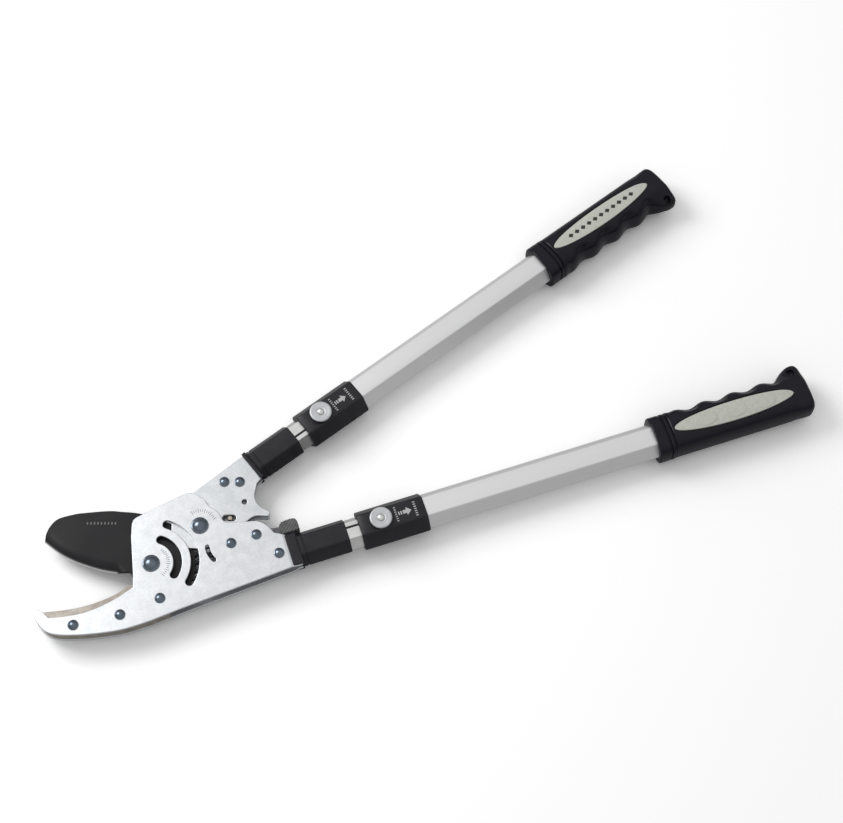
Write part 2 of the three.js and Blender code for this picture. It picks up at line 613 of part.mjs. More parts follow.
// ---- handles ----
function innerTube(side) {
  const start = FERRULE_START + FERRULE_FACE + GAP;
  const end = INNER_END;
  const top = innerTop;
  const grooveY = side * GROOVE_OFFSET;
  const left = grooveY - GROOVE_WIDTH / 2;
  const right = grooveY + GROOVE_WIDTH / 2;
  const bottom = top - GROOVE_DEPTH;
  const above = top + 1;
  const grooveSection = [point(left, bottom), point(right, bottom), point(right, above), point(left, above)];
  const groove = bar(grooveSection, start - 1, end + 1);
  const stops = Array.from({ length: LOCK_STEPS }, (_, i) => (
    drill(point((i * TRAVEL) / (LOCK_STEPS - 1), 0), LOCK_PIN + 2 * GAP, 0)));
  const inside = bar(hexSection(INNER_IN), start - 1, end + 1);
  return cut(bar(hexSection(INNER_OUT), start, end), inside, groove, ...stops);
}
function ferrule(tangHalfHeight) {
  const end = FERRULE_START + FERRULE_LENGTH;
  const wide = TANG_HALF_WIDTH + 0.6;
  const mouth = [
    point(-wide, -tangHalfHeight), point(wide, -tangHalfHeight), point(wide, tangHalfHeight),
    point(-wide, tangHalfHeight),
  ];
  return cut(
    bar(hexSection(FERRULE_OUT), FERRULE_START, end),
    bar(hexSection(FERRULE_IN), FERRULE_START + FERRULE_FACE, end + 1),
    bar(mouth, FERRULE_START - 1, FERRULE_START + FERRULE_FACE + 1),
  );
}
const TUBE_START = COLLAR_START + COLLAR_FACE + GAP;
const TUBE_END = GRIP_START + GRIP_LENGTH - GRIP_END_WALL;

function outerTube() {
  return cut(
    bar(hexSection(0), TUBE_START, TUBE_END),
    bar(hexSection(OUTER_IN), TUBE_START - 1, TUBE_END + 1),
    drill(point(0, 0), LOCK_PIN + GAP, 0),
  );
}
function lockCollar() {
  const end = COLLAR_START + COLLAR_LENGTH;
  return cut(
    bar(hexSection(COLLAR_OUT), COLLAR_START, end),
    bar(hexSection(GAP), COLLAR_START + COLLAR_FACE, end + 1),
    bar(hexSection(INNER_OUT + GAP), COLLAR_START - 1, COLLAR_START + COLLAR_FACE + 1),
    drill(point(0, 0), LOCK_PIN + GAP, 0),
  );
}
function tubeSlide() {
  const start = INNER_END + GAP;
  return bar(hexSection(OUTER_IN - GAP), start, start + 6);
}

// Finger grooves: the bumps between the fingers are the crests of a cosine.
function fingerEdge(side) {
  const steps = 30;
  return Array.from({ length: steps + 1 }, (_, i) => {
    const along = 18 + (i * (GRIP_LENGTH - 43)) / steps;
    const wave = 1.3 * Math.cos((2 * Math.PI * (along - 3)) / FINGER_PITCH);
    return point(GRIP_START + along, side * (gripSide - 1.6 + wave));
  });
}
const hangHole = point(GRIP_START + GRIP_LENGTH - 10, gripSide + 1.5);

function gripBody(side) {
  const start = GRIP_START;
  const end = GRIP_START + GRIP_LENGTH;
  const neck = gripSide + 0.6;
  const plan = outline([
    point(start, -side * neck), point(start + 14, -side * neck), point(start + 17, -side * gripSide),
    point(end - 5, -side * gripSide), point(end, -side * (gripSide - 6)), point(end, side * (gripSide + 2)),
    point(end - 5, side * (gripSide + GRIP_FLARE)), point(end - 11, side * (gripSide + GRIP_FLARE - 1)),
    point(end - 18, side * (gripSide + 2.5)), ...fingerEdge(side).reverse(), point(start + 14, side * neck),
    point(start, side * neck),
  ]);
  const tall = gripTop;
  const flat = 12;
  const wide = 40;
  const low = tall - 9;
  const section = [
    point(-flat, -tall), point(flat, -tall), point(wide, -low), point(wide, low),
    point(flat, tall), point(-flat, tall), point(-wide, low), point(-wide, -low),
  ];
  const blank = common(slab(plan, -tall, tall), bar(section, start - 1, end + 1));
  const pocket = INLAY_THICKNESS + GAP;
  return cut(
    blank,
    bar(hexSection(GAP), start - 1, TUBE_END + GAP),
    slab(inlayOutline(GAP), tall - pocket, tall + 1, 12),
    slab(inlayOutline(GAP), -tall - 1, -tall + pocket, 12),
    drill(point(hangHole.x, side * hangHole.y), HANG_HOLE),
  );
}
function inlayOutline(growth) {
  const halfLength = INLAY_LENGTH / 2 + growth;
  const halfWidth = INLAY_WIDTH / 2 + growth;
  return new THREE.Shape().absellipse(GRIP_START + INLAY_CENTRE, 0, halfLength, halfWidth, 0, 2 * Math.PI);
}
function buttonParts(handle, label) {
  const rest = collarTop + GAP + BUTTON_TRAVEL;
  const top = rest + BUTTON_THICKNESS;
  const rivetShank = 1.4;
  const cap = turnedPiece([
    [rivetShank + GAP, rest], [BUTTON_RADIUS, rest], [BUTTON_RADIUS, top - 0.6], [BUTTON_RADIUS - 0.8, top],
    [rivetShank + GAP, top], [rivetShank + GAP, rest],
  ], point(0, 0), 24);
  addTo(handle, `${label}_button_cap`, cap, 'buttonGrey');
  const stud = turnedPiece([[0, rest], [rivetShank, rest], [rivetShank, top + GAP], [2.4, top + GAP],
    ...domeProfile(2.4, 1.1, top + GAP).slice(1)], point(0, 0), 12);
  addTo(handle, `${label}_button_rivet`, stud, 'rivetSteel');
  const tip = innerTop + GAP;
  const stem = turnedPiece([[0, tip], [LOCK_PIN - 0.6, tip], [LOCK_PIN, tip + 0.8], [LOCK_PIN, rest - GAP],
    [0, rest - GAP]], point(0, 0), 12);
  addTo(handle, `${label}_lock_pin`, stem, 'rivetSteel');
  const coil = ring(LOCK_PIN + 0.6, LOCK_PIN + 2, collarTop + GAP, rest - GAP, point(0, 0));
  addTo(handle, `${label}_button_spring`, coil, 'rivetSteel');
}

function buildHandle(label, datum, degrees, side, tangHalfHeight) {
  const handle = new THREE.Group();
  handle.position.set(datum.x, datum.y, 0);
  handle.rotation.z = THREE.MathUtils.degToRad(degrees);
  addTo(handle, `${label}_ferrule`, ferrule(tangHalfHeight), 'blackPlastic');
  addTo(handle, `${label}_inner_tube`, innerTube(side), 'brightTube');
  addTo(handle, `${label}_tube_slide`, tubeSlide(), 'blackPlastic');
  addTo(handle, `${label}_outer_tube`, outerTube(), 'aluminium');
  addTo(handle, `${label}_lock_collar`, lockCollar(), 'blackPlastic');
  addTo(handle, `${label}_grip`, gripBody(side), 'gripRubber');
  const tall = gripTop;
  addTo(handle, `${label}_front_inlay`, slab(inlayOutline(0), tall - INLAY_THICKNESS, tall, 12), 'inlay');
  addTo(handle, `${label}_rear_inlay`, slab(inlayOutline(0), -tall, -tall + INLAY_THICKNESS, 12), 'inlay');
  buttonParts(handle, label);
  return handle;
}

// ---- assembly ----
buildFrame();
buildBlade();
buildLever();
buildPawls();
buildRelease();
head.add(buildHandle('lower', lowerDatum, LOWER_ANGLE, 1, PLATE_OUT - JOG_DEPTH + GAP));
head.add(buildHandle('upper', upperDatum, UPPER_ANGLE, -1, LEVER_OUT + GAP));

// The origin is the bottom centre of the whole tool's box.
const loppers = new THREE.Group();
loppers.add(head);
head.updateMatrixWorld(true);
const box = new THREE.Box3().setFromObject(head, true);
const middle = box.getCenter(new THREE.Vector3());
head.position.set(-middle.x, -middle.y, -box.min.z);

export default loppers;
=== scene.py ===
"""Visible surfaces of a pair of ratcheting bypass loppers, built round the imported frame.

Lengths are millimetres in the head's own plane until Place.to_row turns them into the row's metres.
The head's origin is the blade pivot at mid-thickness. Along a handle, s runs from the lock button
towards the grip, and p runs across the handle towards the side that the fingers close on.
"""

import logging
import math
from dataclasses import dataclass, field
from enum import Enum
from typing import Callable, Optional, Sequence

import bpy
import numpy as np
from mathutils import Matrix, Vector
from mathutils.geometry import delaunay_2d_cdt


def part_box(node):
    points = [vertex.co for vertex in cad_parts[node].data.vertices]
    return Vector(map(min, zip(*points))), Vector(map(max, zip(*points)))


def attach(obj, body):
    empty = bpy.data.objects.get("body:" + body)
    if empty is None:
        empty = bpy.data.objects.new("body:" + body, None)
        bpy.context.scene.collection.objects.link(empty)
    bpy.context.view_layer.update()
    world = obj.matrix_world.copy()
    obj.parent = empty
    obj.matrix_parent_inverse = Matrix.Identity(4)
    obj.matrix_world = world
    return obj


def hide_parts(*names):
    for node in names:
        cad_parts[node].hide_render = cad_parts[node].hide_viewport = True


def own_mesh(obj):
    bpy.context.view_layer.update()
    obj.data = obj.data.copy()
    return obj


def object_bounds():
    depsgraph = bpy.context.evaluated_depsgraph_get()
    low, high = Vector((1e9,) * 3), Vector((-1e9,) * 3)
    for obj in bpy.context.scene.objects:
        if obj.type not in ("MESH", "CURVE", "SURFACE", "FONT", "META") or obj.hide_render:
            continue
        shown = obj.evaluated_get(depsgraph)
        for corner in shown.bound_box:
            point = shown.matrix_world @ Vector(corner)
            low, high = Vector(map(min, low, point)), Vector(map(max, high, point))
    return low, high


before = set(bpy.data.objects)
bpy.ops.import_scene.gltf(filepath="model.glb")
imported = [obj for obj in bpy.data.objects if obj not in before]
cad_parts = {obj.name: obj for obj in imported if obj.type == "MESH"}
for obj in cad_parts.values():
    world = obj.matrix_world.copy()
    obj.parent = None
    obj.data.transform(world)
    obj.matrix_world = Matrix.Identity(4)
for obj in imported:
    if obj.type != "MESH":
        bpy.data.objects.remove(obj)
CAD_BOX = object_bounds()

LOG = logging.getLogger("loppers")
MM = 0.001

# ---- sizes shared with the solids, in millimetres ----
MID = 1.95                 # half of the blade's layer
LEVER_IN = 2.25
LEVER_OUT = 4.45
PLATE_IN = 4.75
PLATE_OUT = 7.25
TUBE_WIDTH = 31.5
TUBE_FLAT = 16.5
TUBE_THICKNESS = 23.0
RING_TIP = 38.6
RING_ROOT = 35.4
HUB_RADIUS = 18.0
TOOTH_PITCH = 11.0
FIRST_TOOTH = -49.6
TOOTH_COUNT = 10
JOG_START = -81.0
JOG_END = -73.5
JOG_DEPTH = PLATE_OUT - LEVER_OUT
FERRULE_START = -70.3
FERRULE_END = -29.3
COLLAR_START = -18.8
COLLAR_END = 37.8
GRIP_START = 238.0
TANG_HALF = 8.4
TANG_END = -40.0
TRAVEL = 190.0
LOCK_STEPS = 5
PIN_CLEARANCE = 4.2        # from a stop's middle to the end of the groove's painted shadow strip
GROOVE_SIDE = 2.8          # from the tube's middle to the groove's
GROOVE_HALF = 0.9
LOWER_ANGLE = 18.5
UPPER_ANGLE = 38.3

# ---- rivets and their holes ----
BLADE_HOLE = 4.9
LEVER_HOLE = 3.6
RIVET_HOLE = 2.9
PIVOT_SHANK = {"blade_pivot_rivet": 4.6, "lever_pivot_rivet": 3.3}
PIVOT_HEAD, PIVOT_DOME = 7.25, 2.7
RIVET_SHANK, RIVET_HEAD, RIVET_DOME = 2.6, 4.35, 1.5
PLATE_ANGLE = 35.0         # faces that meet at less are shaded as one
ROUND_ANGLE = 50.0
COIL_ANGLE = 60.0


def polar(radius: float, degrees: float, centre: Sequence[float] = (0.0, 0.0)) -> tuple[float, float]:
    """The point at a radius and an angle from a centre."""
    angle = math.radians(degrees)
    return centre[0] + radius * math.cos(angle), centre[1] + radius * math.sin(angle)


BLADE_PIVOT = (0.0, 0.0)
LEVER_PIVOT = polar(50.2, 41.2)
PAWL_PIVOT = polar(66.5, 15.4)
RELEASE_PIVOT = (PAWL_PIVOT[0] + 20.3, PAWL_PIVOT[1] + 7.6)
TANG_RIVET = (103.7, 9.1)
HOOK_RIVETS = [(-58.8, -52.7), (-22.0, -43.9), (9.1, -29.9)]
LEVER_RIVETS = [(55.6, 73.4), (68.4, 73.4)]
SPRING_POST = (LEVER_PIVOT[0] + 24.2, LEVER_PIVOT[1] + 8.0)


# ---- Places and surfaces ----
def head_origin() -> np.ndarray:
    """The blade pivot at mid-thickness, in the row's metres."""
    low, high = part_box("blade_pivot_rivet")
    return (np.array(low) + np.array(high)) / 2


HEAD = head_origin()


@dataclass(frozen=True)
class Place:
    """A flat turn and shift in the head's plane; mirrored swaps the sign of p first."""

    x: float = 0.0
    y: float = 0.0
    degrees: float = 0.0
    mirrored: bool = False

    def flat(self, points: np.ndarray) -> np.ndarray:
        """Head coordinates of local points.

        Args:
            points: array whose last axis starts with (s, p).

        Returns:
            An array of the same shape in the head's millimetres.
        """
        turned = np.array(points, float)
        across = -turned[..., 1] if self.mirrored else turned[..., 1]
        along = turned[..., 0].copy()
        cosine, sine = polar(1, self.degrees)
        turned[..., 0] = self.x + cosine * along - sine * across
        turned[..., 1] = self.y + sine * along + cosine * across
        return turned

    def to_row(self, points: np.ndarray) -> np.ndarray:
        """Row coordinates, in metres, of local points in millimetres."""
        return self.flat(points) * MM + HEAD

    def local(self, points: np.ndarray) -> np.ndarray:
        """Local (s, p) of points given in the head's millimetres."""
        cosine, sine = polar(1, self.degrees)
        dx, dy = points[..., 0] - self.x, points[..., 1] - self.y
        across = cosine * dy - sine * dx
        return np.stack([cosine * dx + sine * dy, -across if self.mirrored else across], axis=-1)


HEAD_PLACE = Place()
LOWER = Place(186.5, 36.5, LOWER_ANGLE)
UPPER = Place(134.9, 132.6, UPPER_ANGLE, mirrored=True)
UPPER_PLAIN = Place(134.9, 132.6, UPPER_ANGLE)


def no_quads() -> np.ndarray:
    """An empty list of four-cornered faces."""
    return np.zeros((0, 4), int)


def no_triangles() -> np.ndarray:
    """An empty list of triangles."""
    return np.zeros((0, 3), int)


@dataclass
class Surface:
    """A closed mesh as arrays.

    Attributes:
        points: (n, 3) vertices.
        quads: (k, 4) faces.
        triangles: (m, 3) faces.
        flat_caps: True when the triangles are flat faces, which shade apart from the quads round them.
    """

    points: np.ndarray
    quads: np.ndarray = field(default_factory=no_quads)
    triangles: np.ndarray = field(default_factory=no_triangles)
    flat_caps: bool = False

    def outward(self) -> "Surface":
        """The same surface with its faces turned to enclose a positive volume.

        The signed volume is the sum over triangles of a . (b x c) / 6.
        """
        corners = np.concatenate([self.triangles, self.quads[:, [0, 1, 2]], self.quads[:, [0, 2, 3]]])
        a, b, c = (self.points[corners[:, i]] for i in range(3))
        if np.einsum("ij,ij->i", a - self.points.mean(0), np.cross(b - a, c - a)).sum() < 0:
            return Surface(self.points, self.quads[:, ::-1], self.triangles[:, ::-1], self.flat_caps)
        return self


def joined(surfaces: Sequence[Surface]) -> Surface:
    """Several closed surfaces as one mesh, each with its faces outwards."""
    turned = [surface.outward() for surface in surfaces]
    starts = np.cumsum([0] + [len(surface.points) for surface in turned[:-1]])
    return Surface(
        np.concatenate([surface.points for surface in turned]),
        np.concatenate([surface.quads + start for surface, start in zip(turned, starts)]),
        np.concatenate([surface.triangles + start for surface, start in zip(turned, starts)]),
        surfaces[0].flat_caps,
    )


def grid_quads(rows: int, columns: int, wrap_rows: bool = False, wrap_columns: bool = True) -> np.ndarray:
    """Quads of a grid whose vertices are numbered row by row."""
    first = np.arange(rows if wrap_rows else rows - 1)
    second = np.arange(columns if wrap_columns else columns - 1)
    i, j = np.meshgrid(first, second, indexing="ij")
    i_next, j_next = (i + 1) % rows, (j + 1) % columns
    corners = [i * columns + j, i * columns + j_next, i_next * columns + j_next, i_next * columns + j]
    return np.stack(corners, axis=-1).reshape(-1, 4)


def rings_surface(rings: np.ndarray, wrap_rows: bool = False) -> Surface:
    """A stack of closed rings, with its two ends closed at a pole each, or joined end to end.

    Args:
        rings: (rows, columns, 3) points.
        wrap_rows: True when the last ring joins the first, as on a sleeve with walls.

    Returns:
        A closed surface.
    """
    rows, columns, _ = rings.shape
    points = rings.reshape(-1, 3)
    quads = grid_quads(rows, columns, wrap_rows)
    if wrap_rows:
        return Surface(points, quads)
    poles = np.stack([rings[0].mean(0), rings[-1].mean(0)])
    j = np.arange(columns)
    j_next = (j + 1) % columns
    last = (rows - 1) * columns
    start_fan = np.stack([np.full(columns, rows * columns), j_next, j], axis=-1)
    end_fan = np.stack([np.full(columns, rows * columns + 1), last + j, last + j_next], axis=-1)
    return Surface(np.concatenate([points, poles]), quads, np.concatenate([start_fan, end_fan]))


def turned_surface(profile: Sequence[Sequence[float]], centre: Sequence[float], count: int = 48) -> Surface:
    """A profile of (radius, z) carried round a vertical axis; it starts and ends on the axis or joins itself.

    Args:
        profile: (radius, z) points from one end to the other.
        centre: the axis in the plane.
        count: steps round the axis.

    Returns:
        A closed surface.
    """
    shape = np.array(profile, float)
    closed = bool(shape[0, 0] > 1e-6 and shape[-1, 0] > 1e-6)
    if not closed:
        shape = shape[shape[:, 0] > 1e-6]
    angle = np.linspace(0, 2 * np.pi, count, endpoint=False)
    rings = np.empty((len(shape), count, 3))
    rings[..., 0] = centre[0] + shape[:, :1] * np.cos(angle)
    rings[..., 1] = centre[1] + shape[:, :1] * np.sin(angle)
    rings[..., 2] = shape[:, 1:]
    surface = rings_surface(rings, wrap_rows=closed)
    if not closed:
        ends = np.array(profile, float)[[0, -1], 1]
        surface.points[-2:, 2] = ends
    return surface


def dome(radius: float, height: float, base: float, steps: int = 8) -> np.ndarray:
    """A spherical cap's profile from its rim to its top, as (radius, z)."""
    sphere = (radius**2 + height**2) / (2 * height)
    angle = math.asin(radius / sphere) * (1 - np.arange(steps + 1) / steps)
    return np.stack([sphere * np.sin(angle), base + height - sphere * (1 - np.cos(angle))], axis=-1)


def quarter(radius: float, steps: int = 4) -> np.ndarray:
    """Insets and drops round a quarter circle, from the flat face to the side."""
    angle = np.linspace(0, np.pi / 2, steps)
    return np.stack([radius * (1 - np.sin(angle)), radius * (1 - np.cos(angle))], axis=-1)


def smooth_step(x: np.ndarray, first: float, last: float) -> np.ndarray:
    """Rises from 0 at first to 1 at last with level ends: 3t^2 - 2t^3."""
    t = np.clip((x - first) / (last - first), 0, 1)
    return t * t * (3 - 2 * t)


# ---- outlines ----
class Path:
    """An outline in the plane, drawn piece by piece as a maker would scribe it."""

    def __init__(self, start: Sequence[float]) -> None:
        """Starts the outline at a point."""
        self.parts = [np.array([start], float)]

    def here(self) -> np.ndarray:
        """The outline's last point."""
        return self.parts[-1][-1]

    def line(self, *ends: Sequence[float]) -> "Path":
        """Straight lines to each end in turn."""
        self.parts.append(np.array(ends, float))
        return self

    def bend(self, control: Sequence[float], end: Sequence[float], steps: int = 10) -> "Path":
        """A quadratic curve with one control point."""
        t = np.linspace(0, 1, steps + 1)[1:, None]
        start, middle, last = self.here(), np.array(control, float), np.array(end, float)
        self.parts.append((1 - t) ** 2 * start + 2 * t * (1 - t) * middle + t**2 * last)
        return self

    def through(self, points: Sequence[Sequence[float]], steps: int = 8) -> "Path":
        """A smooth curve through points, uniform Catmull-Rom as on the solids."""
        knots = np.vstack([self.here(), np.array(points, float)])
        padded = np.vstack([knots[0], knots, knots[-1]])
        t = (np.arange(steps) + 1)[:, None] / steps
        for a, b, c, d in zip(padded, padded[1:], padded[2:], padded[3:]):
            slope_b, slope_c = (c - a) / 2, (d - b) / 2
            cubic = (2 * b - 2 * c + slope_b + slope_c) * t**3
            square = (-3 * b + 3 * c - 2 * slope_b - slope_c) * t**2
            self.parts.append(cubic + square + slope_b * t + b)
        return self

    def arc(
        self, centre: Sequence[float], radius: float, first: float, last: float, steps: int = 24
    ) -> "Path":
        """A circular arc between two angles in degrees."""
        angle = np.radians(np.linspace(first, last, steps + 1))
        self.parts.append(np.array(centre) + radius * np.stack([np.cos(angle), np.sin(angle)], axis=-1))
        return self

    def loop(self, longest: float = 6.0) -> np.ndarray:
        """The closed outline, without doubled points and with no edge over the longest length."""
        points = np.concatenate(self.parts)
        points = points[np.linalg.norm(points - np.roll(points, 1, axis=0), axis=1) > 0.02]
        ends = np.roll(points, -1, axis=0)
        counts = np.maximum(1, np.ceil(np.linalg.norm(ends - points, axis=1) / longest)).astype(int)
        owner = np.repeat(np.arange(len(points)), counts)
        step = (np.arange(len(owner)) - np.repeat(np.cumsum(counts) - counts, counts)) / counts[owner]
        return points[owner] + step[:, None] * (ends - points)[owner]


def rectangle(left: float, right: float, low: float, high: float) -> np.ndarray:
    """A closed rectangle's corners."""
    return np.array([(left, low), (right, low), (right, high), (left, high)], float)


def bar_path(first: float, last: float, low: float, high: float) -> Path:
    """A rectangle from first to last along, and from low to high across."""
    return Path((first, low)).line((last, low), (last, high), (first, high))


def circle(centre: Sequence[float], radius: float, count: int = 32) -> np.ndarray:
    """A closed circle of points."""
    angle = np.linspace(0, 2 * np.pi, count, endpoint=False)
    return np.array(centre) + radius * np.stack([np.cos(angle), np.sin(angle)], axis=-1)


def arc_slot(centre: Sequence[float], radius: float, half: float, first: float, last: float) -> np.ndarray:
    """A slot with round ends that follows an arc."""
    start = polar(radius, first, centre)
    path = Path(polar(radius + half, first, centre)).arc(centre, radius + half, first, last, 40)
    path.arc(polar(radius, last, centre), half, last, last + 180, 14)
    path.arc(centre, radius - half, last, first, 40).arc(start, half, first + 180, first + 360, 14)
    return path.loop()


def straight_slot(a: Sequence[float], b: Sequence[float], half: float) -> np.ndarray:
    """A slot with round ends from a to b."""
    heading = math.degrees(math.atan2(b[1] - a[1], b[0] - a[0]))
    path = Path(polar(half, heading + 90, a)).arc(a, half, heading + 90, heading + 270, 14)
    return path.arc(b, half, heading - 90, heading + 90, 14).loop()


def signed_area(loop: np.ndarray) -> float:
    """Twice-summed cross products of neighbouring points, halved: positive for a left turn."""
    following = np.roll(loop, -1, axis=0)
    return float(np.sum(loop[:, 0] * following[:, 1] - loop[:, 1] * following[:, 0]) / 2)


def inside(points: np.ndarray, loops: Sequence[np.ndarray]) -> np.ndarray:
    """Which points lie within the loops by the even-odd rule, holes counted as loops."""
    crossings = np.zeros(len(points), int)
    for loop in loops:
        a, b = loop, np.roll(loop, -1, axis=0)
        spans = (a[:, 1] > points[:, 1:2]) != (b[:, 1] > points[:, 1:2])
        rise = np.where(np.abs(b[:, 1] - a[:, 1]) < 1e-12, 1e-12, b[:, 1] - a[:, 1])
        meets = a[:, 0] + (points[:, 1:2] - a[:, 1]) * (b[:, 0] - a[:, 0]) / rise
        crossings += np.sum(spans & (points[:, 0:1] < meets), axis=1)
    return crossings % 2 == 1


def line_distance(points: np.ndarray, line: np.ndarray) -> np.ndarray:
    """Shortest distance from each point to an open line of straight pieces."""
    a, b = line[:-1], line[1:]
    span = b - a
    t = np.einsum("nij,ij->ni", points[:, None, :] - a, span) / np.sum(span**2, axis=1)
    nearest = a + np.clip(t, 0, 1)[..., None] * span
    return np.linalg.norm(points[:, None, :] - nearest, axis=-1).min(axis=1)


Relief = Callable[[np.ndarray], tuple[np.ndarray, np.ndarray]]


@dataclass
class Sheet:
    """A flat piece: outlines with rounded rims, and an optional relief of its two faces.

    Attributes:
        loops: the outline first, then its holes.
        low: the rear face's height.
        high: the front face's height.
        edge: the rims' rounding.
        inner: extra points inside the outline, for a relief to bend at.
        relief: gives the lift of the front and of the rear face at plane points.
    """

    loops: Sequence[np.ndarray]
    low: float
    high: float
    edge: float = 0.3
    inner: Optional[np.ndarray] = None
    relief: Optional[Relief] = None

    def faces_at(self, flat: np.ndarray) -> tuple[np.ndarray, np.ndarray]:
        """Heights of the front and rear faces at plane points."""
        rise, fall = self.relief(flat) if self.relief else (np.zeros(len(flat)), np.zeros(len(flat)))
        return self.high + rise, self.low + fall

    def surface(self) -> Surface:
        """The rims: the outline carried along a rounded profile. The faces: triangles between the rims."""
        rims, cap_points, cap_ids, quads = [], [], [], []
        profile = quarter(self.edge)
        start = 0
        for index, loop in enumerate(self.loops):
            wanted = 1 if index == 0 else -1
            turned = loop if signed_area(loop) * wanted > 0 else loop[::-1]
            before, after = turned - np.roll(turned, 1, axis=0), np.roll(turned, -1, axis=0) - turned
            before /= np.linalg.norm(before, axis=1)[:, None]
            after /= np.linalg.norm(after, axis=1)[:, None]
            inward = np.stack([-(before + after)[:, 1], (before + after)[:, 0]], axis=-1)
            length = np.maximum(np.linalg.norm(inward, axis=1), 1e-6)
            half_turn = np.clip(length / 2, 0.6, 1)
            inward = inward / length[:, None] / half_turn[:, None]
            front, rear = self.faces_at(turned)
            scale = np.minimum(1, 0.45 * (front - rear) / self.edge)
            rows = []
            for inset, drop in profile:
                rows.append(np.column_stack([turned + inset * inward, front - drop * scale]))
            for inset, drop in profile[::-1]:
                rows.append(np.column_stack([turned + inset * inward, rear + drop * scale]))
            rings = np.stack(rows)
            quads.append(grid_quads(len(rows), len(turned))[:, ::-1] + start)
            rims.append(rings.reshape(-1, 3))
            cap_points.append(rings[0, :, :2])
            ids = start + np.arange(len(turned))
            cap_ids.append((ids, ids + (len(rows) - 1) * len(turned)))
            start += rings.shape[0] * rings.shape[1]
        plane = np.concatenate(cap_points)
        front_ids = np.concatenate([ids[0] for ids in cap_ids])
        rear_ids = np.concatenate([ids[1] for ids in cap_ids])
        points = np.concatenate(rims)
        if self.inner is not None:
            kept = self.inner[inside(self.inner, cap_points)]
            gaps = np.linalg.norm(kept[:, None] - plane, axis=-1).min(axis=1)
            kept = kept[gaps > 0.55]
            front, rear = self.faces_at(kept)
            front_ids = np.concatenate([front_ids, len(points) + np.arange(len(kept))])
            rear_ids = np.concatenate([rear_ids, len(points) + len(kept) + np.arange(len(kept))])
            points = np.concatenate([points, np.column_stack([kept, front]), np.column_stack([kept, rear])])
            plane = np.concatenate([plane, kept])
        triangles = self.fill(plane, [len(loop) for loop in cap_points], cap_points)
        caps = np.concatenate([front_ids[triangles], rear_ids[triangles[:, ::-1]]])
        return Surface(points, np.concatenate(quads), caps, flat_caps=True)

    @staticmethod
    def fill(plane: np.ndarray, counts: Sequence[int], loops: Sequence[np.ndarray]) -> np.ndarray:
        """Triangles that fill the loops and use every extra point.

        Args:
            plane: all the points, the loops' first.
            counts: how many points each loop has.
            loops: the loops' own points.

        Returns:
            (m, 3) numbers into plane, turning left.
        """
        edges = []
        start = 0
        for count in counts:
            here = start + np.arange(count)
            edges.append(np.stack([here, np.roll(here, -1)], axis=-1))
            start += count
        pairs = np.concatenate(edges).tolist()
        places = [Vector(place) for place in plane.tolist()]
        _, _, faces, origins, _, _ = delaunay_2d_cdt(places, pairs, [], 0, 1e-7)
        source = np.array([ids[0] if ids else -1 for ids in origins])
        triangles = source[np.array([face for face in faces if len(face) == 3])]
        triangles = triangles[(triangles >= 0).all(axis=1)]
        middle = plane[triangles].mean(axis=1)
        triangles = triangles[inside(middle, loops)]
        a, b, c = (plane[triangles[:, i]] for i in range(3))
        left = (b[:, 0] - a[:, 0]) * (c[:, 1] - a[:, 1]) - (b[:, 1] - a[:, 1]) * (c[:, 0] - a[:, 0])
        triangles[left < 0] = triangles[left < 0][:, ::-1]
        return triangles[np.abs(left) > 1e-9]


def mirrored_z(surface: Surface) -> Surface:
    """The surface seen in the head's mid-plane."""
    return Surface(surface.points * np.array([1, 1, -1]), surface.quads, surface.triangles, surface.flat_caps)


# ---- hexagonal tube sections ----
def hex_ring(growth: float, rounding: float, steps: int = 6) -> np.ndarray:
    """The tube's hexagon moved out by a growth, with rounded corners, as (p, z) points.

    Each corner is an arc of the rounding's radius about the corner of the hexagon at growth - rounding.
    """
    half, wide, flat = TUBE_THICKNESS / 2, TUBE_WIDTH / 2, TUBE_FLAT / 2
    lean = math.degrees(math.atan2(wide - flat, half))
    normals = np.array([lean, 90, 180 - lean, 180 + lean, 270, 360 - lean])
    slope = math.cos(math.radians(lean))
    core = growth - rounding
    core_half = half + core
    core_wide = wide + core / slope
    core_flat = core_wide - math.tan(math.radians(lean)) * core_half
    corners = np.array([
        [core_wide, 0], [core_flat, core_half], [-core_flat, core_half],
        [-core_wide, 0], [-core_flat, -core_half], [core_flat, -core_half],
    ])
    before = np.array([normals[5] - 360, *normals[:5]])
    share = np.linspace(0, 1, steps)
    angle = np.radians(before[:, None] + share * (normals - before)[:, None])
    arcs = corners[:, None, :] + rounding * np.stack([np.cos(angle), np.sin(angle)], axis=-1)
    return arcs.reshape(-1, 2)


def hex_body(stations: Sequence[Sequence[float]], hollow: bool) -> Surface:
    """The tube's hexagon carried along a profile.

    Args:
        stations: (s, growth, rounding) along the profile.
        hollow: True when the profile runs round a wall's section, False when it runs from pole to pole.

    Returns:
        A closed surface along s.
    """
    rings = []
    for s, growth, rounding in stations:
        section = hex_ring(growth, rounding)
        rings.append(np.column_stack([np.full(len(section), s), section]))
    return rings_surface(np.stack(rings), wrap_rows=hollow)


